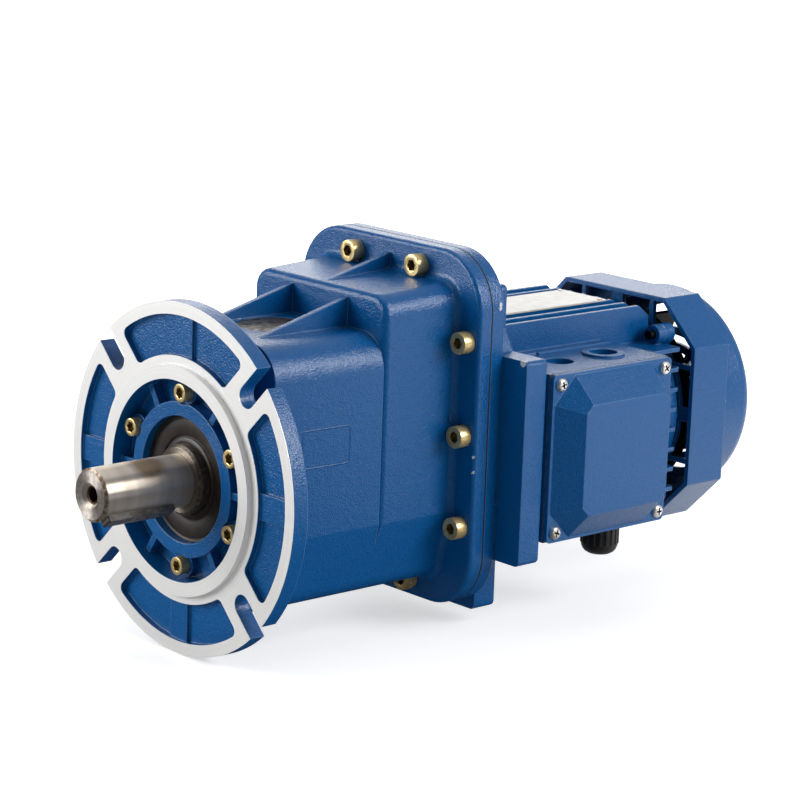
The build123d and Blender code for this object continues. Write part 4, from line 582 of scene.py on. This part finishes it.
def shape_end(piece, axis, steps):
    """Turns the end face that looks along an axis into rings, from (inset, rise) steps."""
    facing = 0.99
    choose_faces(piece, lambda middle, normal: normal.dot(Vector(axis)) > facing)
    for inset, rise in steps:
        step_face(inset, rise, axis)
    bpy.ops.object.mode_set(mode="OBJECT")


def apply_modifier(piece, kind, **settings):
    """Adds a modifier with its settings and applies it."""
    clear_selection()
    bpy.context.view_layer.objects.active = piece
    piece.select_set(True)
    modifier = piece.modifiers.new(kind.title(), kind)
    for name, value in settings.items():
        setattr(modifier, name, value)
    bpy.ops.object.modifier_apply(modifier=modifier.name)


def cut_with(piece, cutter):
    """Cuts a solid out of a piece and removes the cutter."""
    apply_modifier(piece, "BOOLEAN", object=cutter, operation="DIFFERENCE", solver="EXACT")
    bpy.data.objects.remove(cutter)


def soften(piece, width, angle=50, segments=2):
    """Rounds the sharp edges and shades the piece smooth between them."""
    smooth_below = math.radians(35)
    apply_modifier(
        piece, "BEVEL", width=width, segments=segments, limit_method="ANGLE",
        angle_limit=math.radians(angle), harden_normals=False,
    )
    bpy.ops.object.shade_smooth_by_angle(angle=smooth_below)


def mark_recess(piece, materials, spot, axis, radius):
    """Gives a screw its materials: the second, darker one goes on the faces inside its drive recess as
    painted shade.
    """
    lip = 0.25 * MM
    deepest = 6 * MM
    slack = 1.03
    for material in materials:
        piece.data.materials.append(material)
    for face in piece.data.polygons:
        reach = face.center - Vector(spot)
        height = reach.dot(Vector(axis))
        aside = (reach - Vector(axis) * height).length
        if -deepest < height < -lip and aside < radius * slack:
            face.material_index = 1


def lobed_cutter(radius, depth, middle, axis, waist):
    """Six-lobed drive recess: a rod whose sides are drawn in between the lobes."""
    lobes = 6
    per_lobe = 4
    sides = lobes * per_lobe
    cutter = start_rod("drive_cutter", radius, depth, middle, axis, vertices=sides)

    def step_of(place):
        return round(turn_round(place, middle, axis) * sides / (2 * math.pi)) % per_lobe

    # The corners midway between two lobes go in to the waist, and their neighbours half as far
    for steps, share in (((1, 3), (1 + waist) / 2), ((2,), waist)):
        choose_corners(cutter, lambda place: step_of(place) in steps)
        across = [1 if abs(part) > 0.5 else share for part in axis]
        bpy.ops.transform.resize(value=across, center_override=middle)
        bpy.ops.object.mode_set(mode="OBJECT")
    return cutter


def socket_screw(name, materials, spot, axis, head, thread, drive, lobed):
    """Socket screw with its head on a spot: head and thread are (radius, length)."""
    lobe_waist = 0.74
    reach = Vector(axis)
    piece = start_rod(name, head[0], head[1], Vector(spot) + reach * head[1] / 2, axis)
    shape_end(piece, -reach, [(head[0] - thread[0], 0), (0, thread[1])])
    recess = Vector(spot) + reach * head[1]
    if lobed:
        cutter = lobed_cutter(drive, head[1], recess, axis, lobe_waist)
    else:
        cutter = start_rod("drive_cutter", drive, head[1], recess, axis, vertices=6)
    cut_with(piece, cutter)
    soften(piece, 0.3 * MM)
    mark_recess(piece, materials, recess, axis, drive)
    return piece


def copies_at(piece, places):
    """One piece made of a copy at each place, turned so that no two drives line up."""
    turn_between = 0.61
    clear_selection()
    made = []
    for index, (spot, axis) in enumerate(places):
        twin = piece.copy()
        twin.data = piece.data.copy()
        bpy.context.scene.collection.objects.link(twin)
        turn = Matrix.Rotation(turn_between * index, 4, Vector(axis))
        twin.data.transform(Matrix.Translation(spot) @ turn)
        made.append(twin)
    name = piece.name
    bpy.data.objects.remove(piece)
    for twin in made:
        twin.select_set(True)
    bpy.context.view_layer.objects.active = made[0]
    bpy.ops.object.join()
    whole = bpy.context.object
    whole.name = name
    return whole


def on_rib(place, normal, middle, sides):
    """Whether a face is on the side of an upright rod, and is every second one round it."""
    level = 0.1
    turn = math.atan2(place.y - middle.y, place.x - middle.x) / (2 * math.pi)
    return abs(normal.z) < level and round(turn * sides - 0.5) % 2 == 0


def hand_over(piece, body, node):
    """Gives a finished piece its body, and hides the CAD node that it stands for."""
    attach(piece, body)
    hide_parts(node)


class GEARMOTOR_OT_paint_castings(bpy.types.Operator):
    """Paint the gear housing, covers, motor frame, lid and fan cowl"""

    bl_idname = "gearmotor.paint_castings"
    bl_label = "Paint castings"

    def execute(self, context):
        paint = context.scene.gearmotor_paint
        # Baked textured enamel: a deep satin blue with orange peel that sparkles on sloping faces
        enamel = paint_material("textured enamel on die-cast aluminium", paint)
        dress(("input_cover", "motor_frame", "terminal_lid", "rear_shield"), enamel)
        # The same enamel on the housing, with the faint raised outline of a cast pad and painted shade
        # along it
        housing = paint_material("textured enamel on the cast housing", paint, outlined=True)
        dress(("gear_housing",), housing)
        # The same enamel on the cowl, whose broad flats show it as one even blue
        sheet = paint_material("enamel on the die-cast cowl", paint)
        dress(("fan_cowl",), sheet)
        return {"FINISHED"}


class GEARMOTOR_OT_turn_flange(bpy.types.Operator):
    """Paint the output flange and bare its machined faces"""

    bl_idname = "gearmotor.turn_flange"
    bl_label = "Turn flange"

    def execute(self, context):
        scene = context.scene
        # Machined aluminium: nearly white and soft, with fine rings from the lathe
        turned = flange_material(
            "turned face on painted casting", scene.gearmotor_paint, scene.gearmotor_metal
        )
        dress(("output_flange",), turned)
        return {"FINISHED"}


class GEARMOTOR_OT_finish_shafts(bpy.types.Operator):
    """Finish the shafts, keys, gears and bearings"""

    bl_idname = "gearmotor.finish_shafts"
    bl_label = "Finish shafts"

    def execute(self, context):
        steel = tuple(context.scene.gearmotor_metal.steel)
        # Ground carbon steel: warm grey with a highlight drawn out along the shaft, oil stains and rust
        ground = ground_shaft_material("ground carbon steel", steel)
        dress(("output_shaft", "motor_shaft"), ground)
        # Thread in the centre hole: a triangle wound round the shaft's axis
        flank = 0.7 * MM
        first_turn = 38.5 * MM
        thread_radius = 4.6 * MM
        pitch = 1.5 * MM
        turns = 13
        clear_selection()
        bpy.ops.mesh.primitive_circle_add(
            vertices=3, radius=flank, location=(first_turn, thread_radius, 0), rotation=(0, 0, math.pi)
        )
        thread = context.object
        thread.name = "shaft_end_thread"
        bpy.ops.object.transform_apply(location=True, rotation=True, scale=True)
        apply_modifier(
            thread, "SCREW", axis="X", screw_offset=pitch, iterations=turns, steps=24,
            render_steps=24, use_smooth_shade=True,
        )
        bpy.ops.object.mode_set(mode="EDIT")
        bpy.ops.mesh.select_all(action="SELECT")
        bpy.ops.mesh.fill_holes(sides=3)
        bpy.ops.mesh.normals_make_consistent(inside=False)
        bpy.ops.object.mode_set(mode="OBJECT")
        thread.data.materials.append(ground)
        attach(thread, "output")
        # Drawn key steel: dull dark grey with a rough skin
        drawn = metal_material(
            "drawn key steel", hex_colour("#85807A"), hex_colour("#5C5854"),
            roughness=0.42, wear_width=3 * MM, bump=0.35, metallic=0.8,
        )
        dress(("output_key", "gear_key", "wheel_key"), drawn)
        # Case-hardened steel: even mid grey with the soft gloss of oiled tooth flanks
        hobbed = metal_material(
            "hobbed case-hardened steel", hex_colour("#8F8E8C"), hex_colour("#6F6E6D"),
            roughness=0.3, wear_width=8 * MM, bump=0.1,
        )
        dress(
            ("output_gear", "intermediate_shaft", "intermediate_wheel", "wheel_spacer", "motor_pinion"),
            hobbed,
        )
        # Bearing steel: bright and nearly mirror smooth
        race = metal_material(
            "polished bearing steel", hex_colour("#B8B8B6"), hex_colour("#9C9C9A"),
            roughness=0.15, wear_width=12 * MM,
        )
        dress([name for name in nodes if "bearing" in name], race)
        return {"FINISHED"}


class GEARMOTOR_OT_finish_screws(bpy.types.Operator):
    """Plate the screws and rivets"""

    bl_idname = "gearmotor.finish_screws"
    bl_label = "Finish screws"

    def execute(self, context):
        zinc = tuple(context.scene.gearmotor_metal.zinc)
        # Yellow zinc plate: pale gold with crisp bright rims
        yellow = metal_material(
            "yellow zinc plate", zinc, hex_colour("#D0B478"),
            roughness=0.27, wear_width=14 * MM, metallic=0.65,
        )
        # Painted shade in the drive recess: dark bronze, so that the socket reads as a hole
        recess_shade = metal_material(
            "zinc plate darkened as painted shade in its recess", hex_colour("#A88C54"), hex_colour("#4E3F24"),
            roughness=0.4, wear_width=2 * MM, metallic=0.7,
        )
        front = Vector((1, 0, 0))
        head_height = 6 * MM
        flange_screw = socket_screw(
            "flange_screw_set", (yellow, recess_shade), (0, 0, 0), front,
            head=(5.2 * MM, head_height), thread=(3 * MM, 20 * MM), drive=3.3 * MM, lobed=True,
        )
        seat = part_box("flange_screws")[1].x - head_height
        circle = 49.5 * MM
        angles = [math.radians(degrees) for degrees in (25.5, 90, 154.5, 205.5, 270, 334.5)]
        places = [(Vector((seat, circle * math.cos(a), circle * math.sin(a))), front) for a in angles]
        hand_over(
            copies_at(flange_screw, places), "gearmotor_case", "flange_screws"
        )
        head_height = 8 * MM
        housing_screw = socket_screw(
            "housing_screw_set", (yellow, recess_shade), (0, 0, 0), front,
            head=(6.4 * MM, head_height), thread=(3.9 * MM, 18.5 * MM), drive=3.46 * MM, lobed=False,
        )
        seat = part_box("housing_screws")[1].x - head_height
        # Across and up, in millimetres: two above, two below and three down each side
        spots = [(y, z) for y in (-28, 28) for z in (112, -75)]
        spots += [(y, z) for y in (-69, 69) for z in (73.5, 19, -35)]
        places = [(Vector((seat, y * MM, z * MM)), front) for y, z in spots]
        hand_over(
            copies_at(housing_screw, places), "gearmotor_case", "housing_screws"
        )
        # Nickel plate: small hard white highlights
        nickel = metal_material(
            "bright nickel plate", hex_colour("#F0EEE9"), hex_colour("#DAD7D0"),
            roughness=0.2, wear_width=6 * MM, metallic=0.8,
        )
        dress(("nameplate_rivets",), nickel)
        # Black oxide: charcoal with a dull sheen
        oxide_and_recess_shade = metal_material(
            "black oxide steel", hex_colour("#2A2A2C"), hex_colour("#161617"),
            roughness=0.4, wear_width=3 * MM,
        )
        out = Vector((0, 1, 0))
        lid_screw = start_rod("lid_screw_set", 3.9 * MM, 1.2 * MM, (0, 0.6 * MM, 0), out)
        shape_end(lid_screw, -out, [(2 * MM, 0), (0, 12 * MM)])
        shape_end(lid_screw, out, [(0.3 * MM, 0.5 * MM), (0.6 * MM, 0.45 * MM), (1 * MM, 0.3 * MM)])
        # Cross recess: two slots 1 mm wide and 4.4 mm long
        for slot in ((1.0, 2.6, 4.4), (4.4, 2.6, 1.0)):
            clear_selection()
            bpy.ops.mesh.primitive_cube_add(size=1, location=(0, 2.2 * MM, 0))
            cutter = context.object
            cutter.scale = [side * MM for side in slot]
            bpy.ops.object.transform_apply(location=True, rotation=True, scale=True)
            cut_with(lid_screw, cutter)
        soften(lid_screw, 0.12 * MM)
        # The faces in the cross recess take the black oxide as painted shade
        mark_recess(lid_screw, (nickel, oxide_and_recess_shade), (0, 2.4 * MM, 0), out, 2.3 * MM)
        low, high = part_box("lid_screws")
        head_radius = 4 * MM
        seat = high.y - 2.6 * MM
        places = [
            (Vector((x, seat, z)), out)
            for x in (low.x + head_radius, high.x - head_radius)
            for z in (low.z + head_radius, high.z - head_radius)
        ]
        hand_over(copies_at(lid_screw, places), "gearmotor_case", "lid_screws")
        dress(("front_motor_screws", "rear_motor_screws", "cowl_screws", "output_snap_ring"), oxide_and_recess_shade)
        return {"FINISHED"}


class GEARMOTOR_OT_finish_seals(bpy.types.Operator):
    """Finish the shaft seals, gaskets and core plug"""

    bl_idname = "gearmotor.finish_seals"
    bl_label = "Finish seals"

    def execute(self, context):
        # Nitrile rubber: brown black with a soft sheen on its rings
        rubber = polymer_material(
            "moulded nitrile rubber", hex_colour("#2A1F1A"), hex_colour("#1A120E"),
            roughness=0.42, grain_width=0.6 * MM,
        )
        dress(("input_seal",), rubber)
        front = Vector((1, 0, 0))
        behind_lip = 0.8 * MM
        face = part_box("output_seal")[1].x - behind_lip
        depth = 9.5 * MM
        seal = start_rod(
            "output_seal_ring", 35.95 * MM, depth, (face - depth / 2, 0, 0), front, vertices=128
        )
        # Rings from the rim to the lip: how far each steps in, and how far it rises
        shape_end(seal, front, [
            (0.7 * MM, 0), (0.5 * MM, -0.5 * MM), (1.2 * MM, 0), (0.4 * MM, 0.4 * MM),
            (8.6 * MM, 0), (0.3 * MM, -0.7 * MM), (0.8 * MM, 0), (0.3 * MM, 0.7 * MM),
            (0.9 * MM, 0.5 * MM), (1.1 * MM, 0.2 * MM),
        ])
        bore = start_rod("bore_cutter", 20.1 * MM, 30 * MM, (face, 0, 0), front, vertices=128)
        cut_with(seal, bore)
        soften(seal, 0.15 * MM, angle=40)
        seal.data.materials.append(rubber)
        hand_over(seal, "gearmotor_case", "output_seal")
        # Gasket paper: a thin tan and dark line that takes no highlight
        paper = polymer_material(
            "pressed gasket paper", hex_colour("#54463A"), hex_colour("#15110D"),
            roughness=0.85, grain_width=0.8 * MM,
        )
        dress(("lid_gasket",), paper)
        # Oiled paper: a nearly black line between the castings
        dark = polymer_material(
            "oiled gasket paper", hex_colour("#101010"), hex_colour("#070707"),
            roughness=0.7, grain_width=0.8 * MM,
        )
        dress(("cover_gasket",), dark)
        # Phosphated steel worn by handling: dark speckles over a tan sheen
        plug = metal_material(
            "worn phosphated steel", hex_colour("#8E8678"), hex_colour("#2B2926"),
            roughness=0.4, wear_width=4 * MM, bump=0.3,
        )
        dress(("core_plug",), plug)
        return {"FINISHED"}


class GEARMOTOR_OT_finish_electrics(bpy.types.Operator):
    """Finish the gland, terminals, windings, rotor, fan and nameplate"""

    bl_idname = "gearmotor.finish_electrics"
    bl_label = "Finish electrics"

    def execute(self, context):
        # Black polyamide: deep black with satin edges
        black = polymer_material(
            "moulded black polyamide", hex_colour("#1B1B1D"), hex_colour("#0F0F10"),
            roughness=0.42, grain_width=0.8 * MM,
        )
        dress(("gland_body", "gland_locknut", "gland_seal", "fan"), black)
        down = Vector((0, 0, -1))
        low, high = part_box("gland_nut")
        middle = (low + high) / 2
        skirt = 10 * MM
        sides = 36
        nut = start_rod(
            "gland_cap_nut", 11.2 * MM, skirt, (middle.x, middle.y, high.z - skirt / 2), down,
            vertices=sides,
        )
        # Rings from the skirt to the cable's hole: how far each steps in, and how far it drops
        shape_end(nut, down, [
            (0.25 * MM, 1.6 * MM), (0.7 * MM, 1.9 * MM), (1.3 * MM, 1.6 * MM), (1.8 * MM, 1.1 * MM),
            (1.2 * MM, 0.25 * MM), (0.25 * MM, -0.4 * MM),
        ])
        choose_faces(nut, lambda place, normal: on_rib(place, normal, middle, sides))
        bpy.ops.mesh.inset(thickness=0.25 * MM, depth=0.55 * MM, use_individual=True)
        bpy.ops.object.mode_set(mode="OBJECT")
        bore = start_rod("bore_cutter", 6 * MM, 40 * MM, middle, down)
        cut_with(nut, bore)
        soften(nut, 0.12 * MM, angle=40)
        nut.data.materials.append(black)
        hand_over(nut, "gearmotor_case", "gland_nut")
        # Phenolic board: brown and matte
        phenolic = polymer_material(
            "moulded phenolic", hex_colour("#4A3524"), hex_colour("#2E2016"),
            roughness=0.5, grain_width=1 * MM,
        )
        dress(("terminal_block",), phenolic)
        # Turned brass: warm yellow and bright
        brass = metal_material(
            "turned brass", hex_colour("#C9A64F"), hex_colour("#9A7B35"), roughness=0.25, wear_width=4 * MM
        )
        dress(("terminal_studs",), brass)
        # Stacked electrical steel: grey with a fine banded roughness
        sheets = metal_material(
            "stacked electrical steel", hex_colour("#77777A"), hex_colour("#4E4E52"),
            roughness=0.5, wear_width=2 * MM, bump=0.3,
        )
        dress(("stator_core", "rotor_core"), sheets)
        # Enamelled copper: red brown with a lacquered gloss
        copper = metal_material(
            "enamelled copper wire", hex_colour("#A5562C"), hex_colour("#6E3418"),
            roughness=0.3, wear_width=2 * MM, bump=0.4,
        )
        dress(("stator_windings",), copper)
        # Anodised sheet: pale warm grey with an even satin face
        plate = polymer_material(
            "anodised nameplate sheet", hex_colour("#D8D6D0"), hex_colour("#C9C6BF"),
            roughness=0.35, grain_width=1 * MM,
        )
        dress(("nameplate",), plate)
        return {"FINISHED"}


def aim_lamp(name, place, target, size, watts):
    """Area lamp that looks from its place to a target."""
    lamp = bpy.data.lights.new(name, "AREA")
    lamp.shape = "RECTANGLE"
    lamp.size, lamp.size_y = size
    lamp.energy = watts
    holder = bpy.data.objects.new(name, lamp)
    holder.location = place
    look = Vector(target) - Vector(place)
    holder.rotation_euler = look.to_track_quat("-Z", "Y").to_euler()
    holder.visible_camera = False
    bpy.context.scene.collection.objects.link(holder)


def place_camera(scene, stage):
    """Camera at the photograph's angle, moved aside and rolled about its own view."""
    back = Vector((
        math.sin(stage.azimuth) * math.cos(stage.elevation),
        -math.cos(stage.azimuth) * math.cos(stage.elevation),
        math.sin(stage.elevation),
    ))
    right = (-back).cross(Vector((0, 0, 1))).normalized()
    up = right.cross(-back)
    across = math.cos(stage.roll) * right + math.sin(stage.roll) * up
    above = math.cos(stage.roll) * up - math.sin(stage.roll) * right
    lens = bpy.data.cameras.new("camera")
    lens.lens = stage.lens
    lens.sensor_width = 36
    lens.clip_start = 0.05
    camera = bpy.data.objects.new("camera", lens)
    turn = Matrix((across, above, back)).transposed().to_4x4()
    place = across * stage.aside[0] + above * stage.aside[1] + back * stage.distance
    camera.matrix_world = Matrix.Translation(place) @ turn
    scene.collection.objects.link(camera)
    scene.camera = camera


class GEARMOTOR_OT_set_stage(bpy.types.Operator):
    """Set the floor, the lamps, the world and the camera"""

    bl_idname = "gearmotor.set_stage"
    bl_label = "Set stage"

    def execute(self, context):
        scene = context.scene
        stage = scene.gearmotor_stage
        clear_selection()
        middle = (cad_low + cad_high) / 2
        below = cad_low.z - 0.2 * MM
        bpy.ops.mesh.primitive_plane_add(size=12, location=(middle.x, middle.y, below))
        floor = context.object
        floor.name = "floor"
        floor.data.materials.append(floor_material(tuple(stage.floor)))
        scene.world = studio_world()

        aim_lamp("front softbox", (1.2, -1.0, 0.5), target=(-0.1, 0, 0), size=(1.2, 1.0), watts=24)
        aim_lamp("side softbox", (-0.9, 1.5, 0.9), target=(-0.2, 0, 0), size=(1.0, 1.0), watts=25)
        aim_lamp("top softbox", (-0.2, -0.1, 1.5), target=(-0.2, 0, 0), size=(1.4, 1.2), watts=4)
        aim_lamp("back softbox", (-1.3, -1.45, 0.7), target=(-0.2, 0, 0.1), size=(1.8, 0.9), watts=10)
        place_camera(scene, stage)
        scene.view_settings.view_transform = "Standard"
        return {"FINISHED"}


class GEARMOTOR_PT_panel(bpy.types.Panel):
    """Lists the steps that dress the gearmotor"""

    bl_idname = "GEARMOTOR_PT_panel"
    bl_label = "Gearmotor"
    bl_space_type = "VIEW_3D"
    bl_region_type = "UI"
    bl_category = "Gearmotor"

    def draw(self, context):
        for step in OPERATORS:
            self.layout.operator(step.bl_idname)


SETTINGS = {
    "gearmotor_paint": PaintSettings,
    "gearmotor_metal": MetalSettings,
    "gearmotor_stage": StageSettings,
}
OPERATORS = (
    GEARMOTOR_OT_paint_castings,
    GEARMOTOR_OT_turn_flange,
    GEARMOTOR_OT_finish_shafts,
    GEARMOTOR_OT_finish_screws,
    GEARMOTOR_OT_finish_seals,
    GEARMOTOR_OT_finish_electrics,
    GEARMOTOR_OT_set_stage,
)


def register():
    for name, group in SETTINGS.items():
        bpy.utils.register_class(group)
        setattr(bpy.types.Scene, name, bpy.props.PointerProperty(type=group))
    for step in OPERATORS:
        bpy.utils.register_class(step)
    bpy.utils.register_class(GEARMOTOR_PT_panel)


def unregister():
    bpy.utils.unregister_class(GEARMOTOR_PT_panel)
    for step in reversed(OPERATORS):
        bpy.utils.unregister_class(step)
    for name, group in SETTINGS.items():
        delattr(bpy.types.Scene, name)
        bpy.utils.unregister_class(group)


def main():
    """Runs every step in order."""
    register()
    for step in OPERATORS:
        area, name = step.bl_idname.split(".")
        getattr(getattr(bpy.ops, area), name)()


if __name__ == "__main__":
    main()
